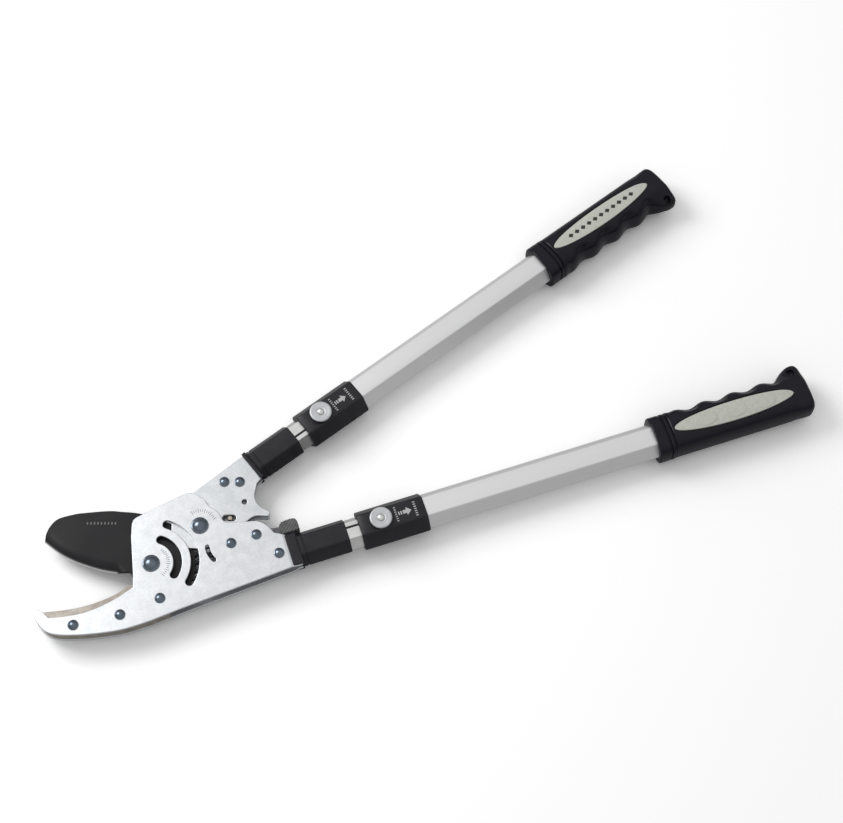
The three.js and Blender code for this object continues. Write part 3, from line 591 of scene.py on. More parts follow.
def coil(
    centre: Sequence[float], radius: float, wire: float, low: float, high: float, turns: float
) -> Surface:
    """A round wire wound in a helix about a vertical axis.

    The centreline is (r cos a, r sin a, z) with z rising evenly, and the wire's section is a small circle
    in the plane of the radius and the axis.
    """
    steps = int(turns * 28) + 1
    angle = np.linspace(0, 2 * np.pi * turns, steps)
    rise = np.linspace(low + wire, high - wire, steps)
    section = np.linspace(0, 2 * np.pi, 10, endpoint=False)
    reach = radius + wire * np.cos(section)
    rings = np.empty((steps, 10, 3))
    rings[..., 0] = centre[0] + np.cos(angle)[:, None] * reach
    rings[..., 1] = centre[1] + np.sin(angle)[:, None] * reach
    rings[..., 2] = rise[:, None] + wire * np.sin(section)
    return rings_surface(rings)


def cushion(
    outline: np.ndarray, low: float, height: Callable[[np.ndarray], np.ndarray], edge: float, rings: int = 24
) -> Surface:
    """A low solid over a star-shaped outline, with a rounded upper rim and a shaped top.

    The outline shrinks towards its middle ring by ring, and each ring takes its height from the function.

    Args:
        outline: (n, 2) points round the middle.
        low: the bottom's height.
        height: the top's height at plane points.
        edge: the upper rim's rounding.
        rings: steps from the rim to the middle.

    Returns:
        A closed surface.
    """
    middle = outline.mean(axis=0)
    reach = np.linalg.norm(outline - middle, axis=1).mean()
    rows = [np.column_stack([outline, np.full(len(outline), low)])]
    for inset, drop in quarter(edge, 5)[::-1]:
        ring = middle + (outline - middle) * (1 - inset / reach)
        rows.append(np.column_stack([ring, height(ring) - drop]))
    for share in np.linspace(1 - edge / reach, 0.03, rings)[1:]:
        ring = middle + (outline - middle) * share
        rows.append(np.column_stack([ring, height(ring)]))
    return rings_surface(np.stack(rows))


# ---- Finishes ----
class Pattern(Enum):
    """How a finish varies over its surface."""

    GRAIN = "even fine grain"
    BRUSHED = "lines along one direction"
    SPANGLE = "small crystal patches"


Colour = tuple[float, float, float]
GROUPS: dict[str, bpy.types.NodeTree] = {}


def variation_group() -> bpy.types.NodeTree:
    """The shared effect: slow mottling of colour and gloss, and a fine grain in height.

    Returns:
        A node group that puts out Colour, Roughness and Height.
    """
    if "surface_variation" in GROUPS:
        return GROUPS["surface_variation"]
    group = bpy.data.node_groups.new("surface_variation", "ShaderNodeTree")
    sockets = {
        "INPUT": [("Vector", "Vector"), ("Mottle Scale", "Float"), ("Grain Scale", "Float"), ("Light", "Color"),
                  ("Dark", "Color"), ("Smooth", "Float"), ("Rough", "Float"), ("Speckle", "Float")],
        "OUTPUT": [("Colour", "Color"), ("Roughness", "Float"), ("Height", "Float")],
    }
    for direction, rows in sockets.items():
        for name, kind in rows:
            group.interface.new_socket(name, in_out=direction, socket_type=f"NodeSocket{kind}")
    nodes, links = group.nodes, group.links
    source, result = nodes.new("NodeGroupInput"), nodes.new("NodeGroupOutput")
    mottle, grain = nodes.new("ShaderNodeTexNoise"), nodes.new("ShaderNodeTexNoise")
    for noise, scale, detail in [(mottle, "Mottle Scale", 4.0), (grain, "Grain Scale", 2.0)]:
        noise.inputs["Detail"].default_value = detail
        links.new(source.outputs["Vector"], noise.inputs["Vector"])
        links.new(source.outputs[scale], noise.inputs["Scale"])
    blend = nodes.new("ShaderNodeMath")
    blend.operation = "MULTIPLY_ADD"
    centred = nodes.new("ShaderNodeMath")
    centred.operation = "SUBTRACT"
    centred.inputs[1].default_value = 0.5
    links.new(grain.outputs["Fac"], centred.inputs[0])
    links.new(centred.outputs[0], blend.inputs[0])
    links.new(source.outputs["Speckle"], blend.inputs[1])
    links.new(mottle.outputs["Fac"], blend.inputs[2])
    spread = nodes.new("ShaderNodeMapRange")
    spread.inputs["From Min"].default_value, spread.inputs["From Max"].default_value = 0.32, 0.68
    links.new(blend.outputs[0], spread.inputs["Value"])
    tint = nodes.new("ShaderNodeMix")
    tint.data_type = "RGBA"
    links.new(spread.outputs["Result"], tint.inputs["Factor"])
    links.new(source.outputs["Dark"], tint.inputs["A"])
    links.new(source.outputs["Light"], tint.inputs["B"])
    gloss = nodes.new("ShaderNodeMix")
    links.new(mottle.outputs["Fac"], gloss.inputs["Factor"])
    links.new(source.outputs["Smooth"], gloss.inputs["A"])
    links.new(source.outputs["Rough"], gloss.inputs["B"])
    links.new(tint.outputs["Result"], result.inputs["Colour"])
    links.new(gloss.outputs["Result"], result.inputs["Roughness"])
    links.new(grain.outputs["Fac"], result.inputs["Height"])
    GROUPS["surface_variation"] = group
    return group


@dataclass(frozen=True)
class Finish:
    """One surface finish of the tool.

    Attributes:
        name: the material's name.
        light: the colour's lighter end.
        dark: the colour's darker end.
        metallic: 1 for bare metal.
        smooth: the lowest roughness.
        rough: the highest roughness.
        mottle: patches per metre.
        grain: grains per metre.
        depth: the grain's height in metres.
        speckle: how much the grain shows in the colour.
        pattern: how it varies.
        heading: the direction of brushing, in degrees.
        specular: the strength of the surface reflection.
    """

    name: str
    light: Colour
    dark: Colour
    metallic: float
    smooth: float
    rough: float
    mottle: float = 90.0
    grain: float = 2500.0
    depth: float = 0.00002
    speckle: float = 0.15
    pattern: Pattern = Pattern.GRAIN
    heading: float = 0.0
    specular: float = 0.5

    def material(self) -> bpy.types.Material:
        """The finish's material, made once."""
        found = bpy.data.materials.get(self.name)
        if found:
            return found
        material = bpy.data.materials.new(self.name)
        material.use_nodes = True
        nodes, links = material.node_tree.nodes, material.node_tree.links
        shader = nodes["Principled BSDF"]
        shader.inputs["Metallic"].default_value = self.metallic
        shader.inputs["Specular IOR Level"].default_value = self.specular
        where = nodes.new("ShaderNodeTexCoord")
        mapping = nodes.new("ShaderNodeMapping")
        links.new(where.outputs["Object"], mapping.inputs["Vector"])
        if self.pattern is Pattern.BRUSHED:
            turn = nodes.new("ShaderNodeMapping")
            turn.inputs["Rotation"].default_value = (0, 0, -math.radians(self.heading))
            mapping.inputs["Scale"].default_value = (0.04, 1.0, 1.0)
            links.new(where.outputs["Object"], turn.inputs["Vector"])
            links.new(turn.outputs["Vector"], mapping.inputs["Vector"])
        group = nodes.new("ShaderNodeGroup")
        group.node_tree = variation_group()
        values = {
            "Mottle Scale": self.mottle, "Grain Scale": self.grain, "Light": (*self.light, 1),
            "Dark": (*self.dark, 1), "Smooth": self.smooth, "Rough": self.rough, "Speckle": self.speckle,
        }
        for socket, value in values.items():
            group.inputs[socket].default_value = value
        links.new(mapping.outputs["Vector"], group.inputs["Vector"])
        colour = group.outputs["Colour"]
        if self.pattern is Pattern.SPANGLE:
            colour = self.spangled(material, mapping.outputs["Vector"], colour)
        bump = nodes.new("ShaderNodeBump")
        bump.inputs["Distance"].default_value = self.depth
        bump.inputs["Strength"].default_value = 1.0
        links.new(group.outputs["Height"], bump.inputs["Height"])
        links.new(bump.outputs["Normal"], shader.inputs["Normal"])
        links.new(group.outputs["Roughness"], shader.inputs["Roughness"])
        links.new(self.edged(material, colour), shader.inputs["Base Color"])
        return material

    def spangled(
        self, material: bpy.types.Material, vector: bpy.types.NodeSocket, colour: bpy.types.NodeSocket
    ) -> bpy.types.NodeSocket:
        """The colour with the faint crystal patches of zinc plate over it."""
        nodes, links = material.node_tree.nodes, material.node_tree.links
        cells = nodes.new("ShaderNodeTexVoronoi")
        cells.inputs["Scale"].default_value = 650
        links.new(vector, cells.inputs["Vector"])
        tone = nodes.new("ShaderNodeMapRange")
        tone.inputs["To Min"].default_value, tone.inputs["To Max"].default_value = 0.94, 1.05
        links.new(cells.outputs["Color"], tone.inputs["Value"])
        scaled = nodes.new("ShaderNodeVectorMath")
        scaled.operation = "SCALE"
        links.new(colour, scaled.inputs[0])
        links.new(tone.outputs["Result"], scaled.inputs["Scale"])
        return scaled.outputs[0]

    def edged(self, material: bpy.types.Material, colour: bpy.types.NodeSocket) -> bpy.types.NodeSocket:
        """Hook for finishes with a second tone; a plain finish keeps its colour."""
        return colour


@dataclass(frozen=True)
class GroundEdge(Finish):
    """A coated finish whose coat is ground away where the mesh's attribute "ground" is 1."""

    bare: Colour = (0.78, 0.78, 0.79)

    def edged(self, material: bpy.types.Material, colour: bpy.types.NodeSocket) -> bpy.types.NodeSocket:
        """Mixes bare steel over the coat by the attribute, and makes it metallic there."""
        nodes, links = material.node_tree.nodes, material.node_tree.links
        ground = nodes.new("ShaderNodeAttribute")
        ground.attribute_name = "ground"
        mix = nodes.new("ShaderNodeMix")
        mix.data_type = "RGBA"
        links.new(ground.outputs["Fac"], mix.inputs["Factor"])
        links.new(colour, mix.inputs["A"])
        mix.inputs["B"].default_value = (*self.bare, 1)
        metal = nodes.new("ShaderNodeMapRange")
        metal.inputs["To Min"].default_value, metal.inputs["To Max"].default_value = self.metallic, 1.0
        links.new(ground.outputs["Fac"], metal.inputs["Value"])
        links.new(metal.outputs["Result"], nodes["Principled BSDF"].inputs["Metallic"])
        return mix.outputs["Result"]


PLATED = dict(metallic=0.92, smooth=0.30, rough=0.44, depth=0.000012, speckle=0.5, pattern=Pattern.SPANGLE)
SATIN_TUBE = dict(
    light=(0.93, 0.93, 0.94), dark=(0.89, 0.89, 0.90), metallic=0.75, smooth=0.36, rough=0.42, mottle=60,
    grain=2600, depth=0.000008, speckle=0.3, pattern=Pattern.BRUSHED,
)
PRINT = dict(metallic=0.0, smooth=0.5, rough=0.6)

ZINC = Finish("zinc_plate", (0.83, 0.85, 0.875), (0.785, 0.805, 0.83), mottle=120, grain=2600, **PLATED)
LEVER_STEEL = Finish("plated_lever", (0.775, 0.795, 0.82), (0.725, 0.75, 0.775), mottle=110, grain=2400, **PLATED)
RIVET_STEEL = Finish(
    "polished_rivet", (0.20, 0.235, 0.28), (0.14, 0.17, 0.21), 1.0, 0.18, 0.28, 200, 1500, 0.00001
)
PIN_STEEL = Finish("pin_steel", (0.62, 0.54, 0.44), (0.46, 0.38, 0.30), 0.9, 0.3, 0.45, 300, 1800)
COATED = GroundEdge(
    "coated_blade", (0.013, 0.013, 0.015), (0.009, 0.009, 0.011), 0.0, 0.28, 0.36, 40, 1800, 0.00001,
    specular=0.28,
)
BARE_STEEL = Finish(
    "bare_hook_steel", (0.50, 0.46, 0.41), (0.32, 0.285, 0.25), 0.8, 0.36, 0.52, 150, 1600, 0.00002
)
HARD_STEEL = Finish(
    "hardened_steel", (0.22, 0.22, 0.23), (0.12, 0.12, 0.13), 0.8, 0.35, 0.5, 150, 1600, 0.00003
)
TUBE_LOWER = Finish("satin_tube_lower", heading=LOWER_ANGLE, **SATIN_TUBE)
TUBE_UPPER = Finish("satin_tube_upper", heading=UPPER_ANGLE, **SATIN_TUBE)
BRIGHT_TUBE = Finish(
    "polished_inner_tube", (0.92, 0.92, 0.91), (0.84, 0.84, 0.83), 1.0, 0.26, 0.34, 70, 2400, 0.000002
)
BLACK_PLASTIC = Finish(
    "satin_black_plastic", (0.019, 0.0185, 0.023), (0.014, 0.0135, 0.0175), 0.0, 0.30, 0.38, 120, 2600, 0.00003,
    specular=0.38,
)
GREY_PLASTIC = Finish(
    "knurled_grey_plastic", (0.21, 0.21, 0.212), (0.14, 0.14, 0.143), 0.1, 0.38, 0.5, 150, 2000, 0.00003
)
GRIP_RUBBER = Finish(
    "glossy_grip_rubber", (0.0085, 0.0080, 0.0150), (0.006, 0.0057, 0.011), 0.0, 0.14, 0.21, 70, 1800, 0.00001,
    specular=0.27,
)
INLAY_RUBBER = Finish(
    "inlay_rubber", (0.63, 0.64, 0.58), (0.55, 0.56, 0.50), 0.0, 0.5, 0.65, 400, 3000, 0.00003, 0.8
)
BUTTON_GREY = Finish(
    "satin_button_grey", (0.66, 0.67, 0.69), (0.56, 0.57, 0.59), 0.45, 0.36, 0.45, 150, 2600, 0.00002
)
PRINT_WHITE = Finish("white_print", (0.55, 0.55, 0.55), (0.45, 0.45, 0.45), **PRINT)
PRINT_GREY = Finish("grey_print", (0.20, 0.19, 0.17), (0.15, 0.14, 0.13), **PRINT)
PRINT_DARK = Finish("dark_print", (0.035, 0.035, 0.03), (0.025, 0.025, 0.02), **PRINT)
ENGRAVED = Finish("engraved_mark", (0.20, 0.21, 0.22), (0.14, 0.15, 0.16), 0.6, 0.4, 0.5)


# ---- Pieces ----
@dataclass(frozen=True)
class Rides:
    """What a piece moves with and stands for.

    Attributes:
        body: the CAD body it rides on.
        slot: the record's material slot.
        nodes: the CAD nodes it replaces.
    """

    body: str
    slot: str
    nodes: tuple[str, ...] = ()


def sharpen_caps(mesh: bpy.types.Mesh) -> None:
    """Marks every edge between a triangle and a quad as sharp, so a flat face keeps its own shading."""
    edges, sizes = np.empty(len(mesh.loops), int), np.empty(len(mesh.polygons), int)
    mesh.loops.foreach_get("edge_index", edges)
    mesh.polygons.foreach_get("loop_total", sizes)
    sides = np.repeat(sizes, sizes)
    by_triangle = np.bincount(edges[sides == 3], minlength=len(mesh.edges)) > 0
    by_quad = np.bincount(edges[sides == 4], minlength=len(mesh.edges)) > 0
    mark = mesh.attributes.get("sharp_edge") or mesh.attributes.new("sharp_edge", "BOOLEAN", "EDGE")
    sharp = np.empty(len(mesh.edges), bool)
    mark.data.foreach_get("value", sharp)
    mark.data.foreach_set("value", sharp | (by_triangle & by_quad))


def placed_mesh(name: str, surface: Surface, place: Place) -> bpy.types.Mesh:
    """A surface as a mesh in the row's metres, with its faces outwards."""
    placed = Surface(place.to_row(surface.points), surface.quads, surface.triangles).outward()
    mesh = bpy.data.meshes.new(name)
    mesh.from_pydata(placed.points.tolist(), [], [*placed.quads.tolist(), *placed.triangles.tolist()])
    return mesh


def add_piece(
    name: str, surface: Surface, place: Place, finish: Finish, rides: Rides, smooth: float = PLATE_ANGLE
) -> bpy.types.Object:
    """Puts a surface into the scene as a finished piece.

    Args:
        name: the piece's name.
        surface: a closed surface in the place's millimetres.
        place: where it lies in the head's plane.
        finish: its finish.
        rides: its body, slot and replaced nodes.
        smooth: faces that meet at less than this many degrees are shaded as one.

    Returns:
        The new object, at the origin, with its place in its mesh.
    """
    mesh = placed_mesh(name, surface, place)
    mesh.shade_smooth()
    mesh.set_sharp_from_angle(angle=math.radians(smooth))
    if surface.flat_caps:
        sharpen_caps(mesh)
    piece = bpy.data.objects.new(name, mesh)
    bpy.context.scene.collection.objects.link(piece)
    piece.data.materials.append(finish.material())
    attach(piece, rides.body)
    if rides.nodes:
        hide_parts(*rides.nodes)
    LOG.info("made %s: %d faces", name, len(mesh.polygons))
    return piece


def carve(piece: bpy.types.Object, cutters: Sequence[Surface], place: Place) -> None:
    """Cuts closed surfaces out of a piece and keeps the result as its mesh.

    Args:
        piece: the piece to cut.
        cutters: what is taken away, in the place's millimetres.
        place: where the cutters lie.
    """
    made = []
    for cutter in cutters:
        tool = bpy.data.objects.new("cutter", placed_mesh("cutter", cutter, place))
        bpy.context.scene.collection.objects.link(tool)
        modifier = piece.modifiers.new("cut", "BOOLEAN")
        modifier.operation = "DIFFERENCE"
        modifier.solver = "EXACT"
        modifier.object = tool
        made.append(tool)
    bpy.context.view_layer.update()
    graph = bpy.context.evaluated_depsgraph_get()
    result = bpy.data.meshes.new_from_object(piece.evaluated_get(graph))
    piece.modifiers.clear()
    old = piece.data
    piece.data = result
    result.name = piece.name
    bpy.data.meshes.remove(old)
    for tool in made:
        bpy.data.meshes.remove(tool.data)
    piece.data.shade_smooth()
    piece.data.set_sharp_from_angle(angle=math.radians(PLATE_ANGLE))


def dress_node(node: str, finish: Finish) -> None:
    """Gives a CAD node that stays its finish."""
    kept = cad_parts[node]
    kept.data.materials.clear()
    kept.data.materials.append(finish.material())
    LOG.info("dressed %s as %s", node, finish.name)


def rivet_surface(
    place: Sequence[float], shank: float, head: float, height: float, face: float
) -> Surface:
    """A rivet with a domed head on each side of what it holds; the profile is turned about its axis.

    Args:
        place: its centre.
        shank: the shank's radius.
        head: the heads' radius.
        height: the dome's height over the rim.
        face: the height of the face that the head sits on.

    Returns:
        A closed surface.
    """
    seat = face + 0.05
    shoulder = head * 0.84
    upper = np.vstack([
        [[shank, seat], [head - 0.15, seat], [head, seat + 0.2], [head, seat + 0.55],
         [head - 0.3, seat + 0.78]],
        dome(shoulder, height, seat + 0.82, 10),
    ])
    lower = (upper * [1, -1])[::-1]
    return turned_surface(np.vstack([lower, upper]), place)


def add_rivet(node: str, place: Sequence[float], body: str, face: float) -> None:
    """Adds the rivet that stands for a CAD rivet: a large one on a pivot, a small one elsewhere."""
    if node in PIVOT_SHANK:
        surface = rivet_surface(place, PIVOT_SHANK[node], PIVOT_HEAD, PIVOT_DOME, face)
    else:
        surface = rivet_surface(place, RIVET_SHANK, RIVET_HEAD, RIVET_DOME, face)
    rides = Rides(body, "rivet_steel", (node,))
    add_piece(f"{node}_head", surface, HEAD_PLACE, RIVET_STEEL, rides, ROUND_ANGLE)


def handle_points(place: Place, pairs: Sequence[Sequence[float]]) -> list[tuple]:
    """Points given along and across a handle, in the head's plane."""
    return [tuple(place.flat(np.array(pair))) for pair in pairs]


def rivet_holes(places: Sequence[Sequence[float]]) -> list[np.ndarray]:
    """Round holes for small rivets."""
    return [circle(place, RIVET_HOLE, 24) for place in places]


@dataclass
class HeadFrame:
    """The fixed head: two side plates, the hook's counter blade and filler, and their rivets."""

    hook_outer: tuple = (
        (-88.9, -49.4), (-80.5, -57.8), (-69, -60.8), (-46.7, -60.3), (-20, -56.4), (3, -48.8),
    )
    hook_inner: tuple = ((-26.1, -30), (-37.1, -36.3), (-48.2, -41.2), (-59.5, -44.2), (-70.8, -45.9))
    bypass_edge: tuple = (
        (-16.2, -14.9), (-28.1, -22.8), (-39.2, -28.4), (-50.5, -32.6), (-61.8, -35.4), (-73.3, -37.3),
        (-84.8, -38.4),
    )
    window_radii: tuple = (21.6, 35.8)
    window_half: float = 3.5
    window_turn: tuple = (-26, 72.5)

    def plate_outline(self) -> np.ndarray:
        """A side plate's outline, from the hook's nose round to its working edge."""
        path = Path((-84.3, -41.8)).line((-87.9, -39.9)).bend((-91.2, -41), (-91, -44.5))
        path.through(self.hook_outer).line((25.9, -38.9))
        behind = FERRULE_START - 1
        tang = handle_points(LOWER, [
            (behind, -14), (behind, -TANG_HALF), (TANG_END, -TANG_HALF), (TANG_END, TANG_HALF),
            (behind, TANG_HALF), (behind, 14),
        ])
        path.line(*tang, (107.9, 25.4), (98.8, 27))
        path.bend((91, 37.5), (82, 37.4)).line((62.8, 35.8)).bend((57, 35.4), (55.2, 40))
        path.through([(51.4, 45.6), (43.9, 50.9), (39.9, 56.9), (33, 61)]).bend((27, 63.6), (21.5, 60.3))
        path.line((-13.5, 41.1)).bend((-18.2, 38.6), (-18, 33))
        path.line((-17.9, 23.1), (-14.1, -8.7), (-13.3, -20.4))
        path.through(self.hook_inner).line((-79.2, -46.6))
        return path.loop(3.0)

    def jog(self, flat: np.ndarray) -> tuple[np.ndarray, np.ndarray]:
        """Lift of both faces where the plate steps in to enter the ferrule: a smooth step along s."""
        drop = -JOG_DEPTH * smooth_step(LOWER.local(flat)[:, 0], JOG_START, JOG_END)
        return drop, drop

    def side_plate(self) -> Surface:
        """The front side plate with its windows, holes and jog."""
        s, p = np.meshgrid(np.arange(-84, -70, 0.8), np.arange(-18, 24, 1.6), indexing="ij")
        bending = LOWER.flat(np.stack([s.ravel(), p.ravel()], axis=-1))
        holes = []
        for radius in self.window_radii:
            holes.append(arc_slot(BLADE_PIVOT, radius, self.window_half, *self.window_turn))
        holes.append(arc_slot(PAWL_PIVOT, 19.4, 1.8, 189.5, 227.7))
        holes += [circle(BLADE_PIVOT, BLADE_HOLE), circle(LEVER_PIVOT, LEVER_HOLE)]
        holes += rivet_holes([PAWL_PIVOT, RELEASE_PIVOT, TANG_RIVET, *HOOK_RIVETS])
        return Sheet([self.plate_outline(), *holes], PLATE_IN, PLATE_OUT, 0.45, bending, self.jog).surface()

    def hook_outline(self, nose: tuple, inner: Sequence[tuple]) -> np.ndarray:
        """The outline that the counter blade and the filler share, with their own working edges."""
        outer = [(x + 0.7, y + 0.7) for x, y in self.hook_outer]
        path = Path(nose).through(outer).line((17.5, -42.4), (13.8, -25.6)).bend((3, -24), (-8, -22.5))
        return path.through(inner).loop(3.0)

    def build(self) -> None:
        """Makes the frame's pieces."""
        plate = self.side_plate()
        for side, surface in [("front", plate), ("rear", mirrored_z(plate))]:
            rides = Rides("frame", "zinc", (f"{side}_side_plate",))
            add_piece(f"{side}_plate", surface, HEAD_PLACE, ZINC, rides)
        holes = rivet_holes(HOOK_RIVETS)
        outline = self.hook_outline((-88.6, -43.5), self.bypass_edge)
        counter = Sheet([outline, *holes], -LEVER_OUT, -LEVER_IN, 0.3)
        add_piece("counter_blade_plate", counter.surface(), HEAD_PLACE, BARE_STEEL,
                  Rides("frame", "bare_steel", ("counter_blade",)))
        inner = [(x + 0.3, y - 1.1) for x, y in self.hook_inner] + [(-79.5, -47.4)]
        filler = Sheet([self.hook_outline((-87.4, -46), inner), *holes], -MID, LEVER_OUT, 0.3)
        add_piece("hook_filler", filler.surface(), HEAD_PLACE, BARE_STEEL,
                  Rides("frame", "bare_steel", ("hook_spacer",)))
        places = {
            "hook_rivet_tip": HOOK_RIVETS[0], "hook_rivet_middle": HOOK_RIVETS[1],
            "hook_rivet_heel": HOOK_RIVETS[2], "tang_rivet": TANG_RIVET, "pawl_pivot_rivet": PAWL_PIVOT,
            "release_pivot_rivet": RELEASE_PIVOT, "blade_pivot_rivet": BLADE_PIVOT,
            "lever_pivot_rivet": LEVER_PIVOT,
        }
        for node, place in places.items():
            add_rivet(node, place, "frame", PLATE_OUT)
        self.scales()
        for node in ("tang_spacer", "blade_washer_front", "blade_washer_rear"):
            dress_node(node, HARD_STEEL)

    def scales(self) -> None:
        """Short engraved ticks on arcs beside the two pivots: plain bars, evenly turned round each pivot."""
        ticks = []
        for centre, radius, first, last, count in [
            (BLADE_PIVOT, 14.2, -44, 56, 15), (LEVER_PIVOT, 13.4, 28, 122, 13),
        ]:
            for index, angle in enumerate(np.linspace(first, last, count)):
                half = 1.5 if index % 3 == 0 else 0.9
                ends = [polar(radius - half, angle, centre), polar(radius + half, angle, centre)]
                bar = straight_slot(*ends, 0.22)
                if inside(np.array([polar(radius + 3, angle, centre)]), [self.plate_outline()])[0]:
                    ticks.append(Sheet([bar], PLATE_OUT - 0.2, PLATE_OUT + 0.04, 0.03).surface())
        add_piece("engraved_scales", joined(ticks), HEAD_PLACE, ENGRAVED, Rides("frame", "zinc"))


@dataclass
class CuttingBlade:
    """The swinging blade: black coated, with a toothed rim at its heel and a bevel ground on its front."""

    back: tuple = ((4, 41), (-12.9, 46), (-28.8, 47.7), (-40.6, 48.2), (-64.2, 46))
    tip: tuple = ((-76.6, 42.7), (-82.5, 39.3), (-86.8, 33.3), (-88.9, 27.4))
    point: tuple = (-89.8, 21.2)
    edge: tuple = ((-77.1, 11.5), (-64.7, 4.7), (-52.7, 0.1), (-40.7, -3.5), (-28.9, -5.6))
    tooth: tuple = (
        (RING_ROOT, -0.30), (RING_TIP - 0.4, -0.13), (RING_TIP, -0.07), (RING_TIP, 0.07),
        (RING_TIP - 0.4, 0.13), (RING_ROOT, 0.30),
    )
    bevel_width: float = 9.5
    bevel_drop: float = 3.0
    land: float = 1.0
    shade_angle: float = 28.0

    def cutting_line(self) -> np.ndarray:
        """The cutting edge as a line of points."""
        return np.concatenate(Path(self.point).through(self.edge, 10).parts)

    def outline(self) -> np.ndarray:
        """The blade's outline: toothed rim, back, tip, cutting edge and round hub."""
        first = FIRST_TOOTH - 0.5 * TOOTH_PITCH
        path = Path(polar(HUB_RADIUS, first))
        for index in range(TOOTH_COUNT):
            for radius, share in self.tooth:
                path.line(polar(radius, FIRST_TOOTH + (index + share) * TOOTH_PITCH))
        path.line(polar(RING_TIP, FIRST_TOOTH + TOOTH_COUNT * TOOTH_PITCH)).through(self.back, 10)
        path.through(self.tip, 10).line(self.point).through(self.edge, 10).line(polar(HUB_RADIUS, 197))
        return path.arc(BLADE_PIVOT, HUB_RADIUS, 197, first + 360, 36).loop(2.0)

    def bevel(self, flat: np.ndarray) -> tuple[np.ndarray, np.ndarray]:
        """The front falls towards the cutting edge; the rear stays flat."""
        distance = line_distance(flat, self.cutting_line())
        t = np.clip(1 - distance / self.bevel_width, 0, 1)
        return -self.bevel_drop * t**1.9, np.zeros(len(flat))

    def build(self) -> None:
        """Makes the blade, with the attribute "ground" marking its bare edge."""
        line = self.cutting_line()
        heading = np.gradient(line, axis=0)
        normal = np.stack([-heading[:, 1], heading[:, 0]], axis=-1)
        normal /= np.linalg.norm(normal, axis=1)[:, None]
        depths = (0.8, 1.1, 2, 3.2, 4.5, 6, 7.5, 9, 10)
        inner = np.concatenate([line + side * depth * normal for depth in depths for side in (-1, 1)])
        loops = [self.outline(), circle(BLADE_PIVOT, BLADE_HOLE)]
        surface = Sheet(loops, -MID, MID, 0.3, inner, self.bevel).surface()
        rides = Rides("blade", "coated_steel", ("blade",))
        piece = add_piece("blade_coated", surface, HEAD_PLACE, COATED, rides, self.shade_angle)
        distance = line_distance(surface.points[:, :2], line)
        ground = np.clip((self.land + 0.12 - distance) / 0.2, 0, 1) * (surface.points[:, 2] > -MID + 0.2)
        attribute = piece.data.attributes.new("ground", "FLOAT", "POINT")
        attribute.data.foreach_set("value", ground.astype(np.float32))
        bars = [
            Sheet([rectangle(x, x + 1.1, 36.2, 38.2)], MID - 0.2, MID + 0.03, 0.02).surface()
            for x in np.linspace(-56, -33, 9)
        ]
        add_piece("blade_size_ticks", joined(bars), HEAD_PLACE, PRINT_GREY, Rides("blade", "coated_steel"))


@dataclass
class LeverHead:
    """The upper lever: two plates that carry the upper handle and drive the blade."""

    lobe: float = 19.6
    post_slot: tuple = ((-3.6, 0.0), (2.2, 0.0))
    spare_hole: tuple = (73.2, 55.5)

    def outline(self) -> np.ndarray:
        """A lever plate's outline: lobe, finger, ferrule end and back."""
        behind = FERRULE_START - 1
        tang = handle_points(UPPER_PLAIN, [
            (FERRULE_START - 8, -15), (behind, -13), (behind, -TANG_HALF), (TANG_END, -TANG_HALF),
            (TANG_END, TANG_HALF), (behind, TANG_HALF), (behind, 11.5), (FERRULE_START - 5, 12.2),
        ])
        path = Path((14.3, 38)).line((14.3, 22.5), (20.5, 14.4), (LEVER_PIVOT[0] - 5, 14.4))
        path.bend((LEVER_PIVOT[0] + 5, 12.9), polar(self.lobe, -47, LEVER_PIVOT))
        path.line((61.5, 28.8), (69, 33.2), (77, 39.2)).bend((81, 43.6), (86, 43.2)).line((93, 42.8))
        path.bend((95.6, 45.4), (93.4, 47.6)).bend((81, 52), (81.2, 62.7), 14)
        path.line(*tang, (30.3, 63.2))
        return path.bend((17, 53), (14.3, 38), 14).loop(3.0)

    def plate(self, front: bool) -> Surface:
        """One plate, between its two faces; the front one has the spring post's slot."""
        drive = (LEVER_PIVOT[0] + 4.3, LEVER_PIVOT[1] - 11.7)
        holes = [circle(LEVER_PIVOT, LEVER_HOLE), circle(drive, 1.8, 20), circle(self.spare_hole, 2.3, 24)]
        holes += rivet_holes(LEVER_RIVETS)
        if front:
            ends = [(SPRING_POST[0] + dx, SPRING_POST[1] + dy) for dx, dy in self.post_slot]
            holes.append(straight_slot(*ends, 2.85))
        else:
            holes.append(circle(SPRING_POST, 2.0, 20))
        return Sheet([self.outline(), *holes], LEVER_IN, LEVER_OUT, 0.4).surface()

    def build(self) -> None:
        """Makes the lever's plates and rivets, and dresses its spacer and pins."""
        for side, surface in [("front", self.plate(True)), ("rear", mirrored_z(self.plate(False)))]:
            add_piece(f"{side}_lever", surface, HEAD_PLACE, LEVER_STEEL,
                      Rides("lever", "lever_steel", (f"{side}_lever_plate",)))
        for node, place in zip(("lever_rivet_inner", "lever_rivet_outer"), LEVER_RIVETS):
            add_rivet(node, place, "lever", LEVER_OUT)
        dress_node("lever_spacer", HARD_STEEL)
        dress_node("spring_post", PIN_STEEL)
        dress_node("drive_pawl_pin", HARD_STEEL)


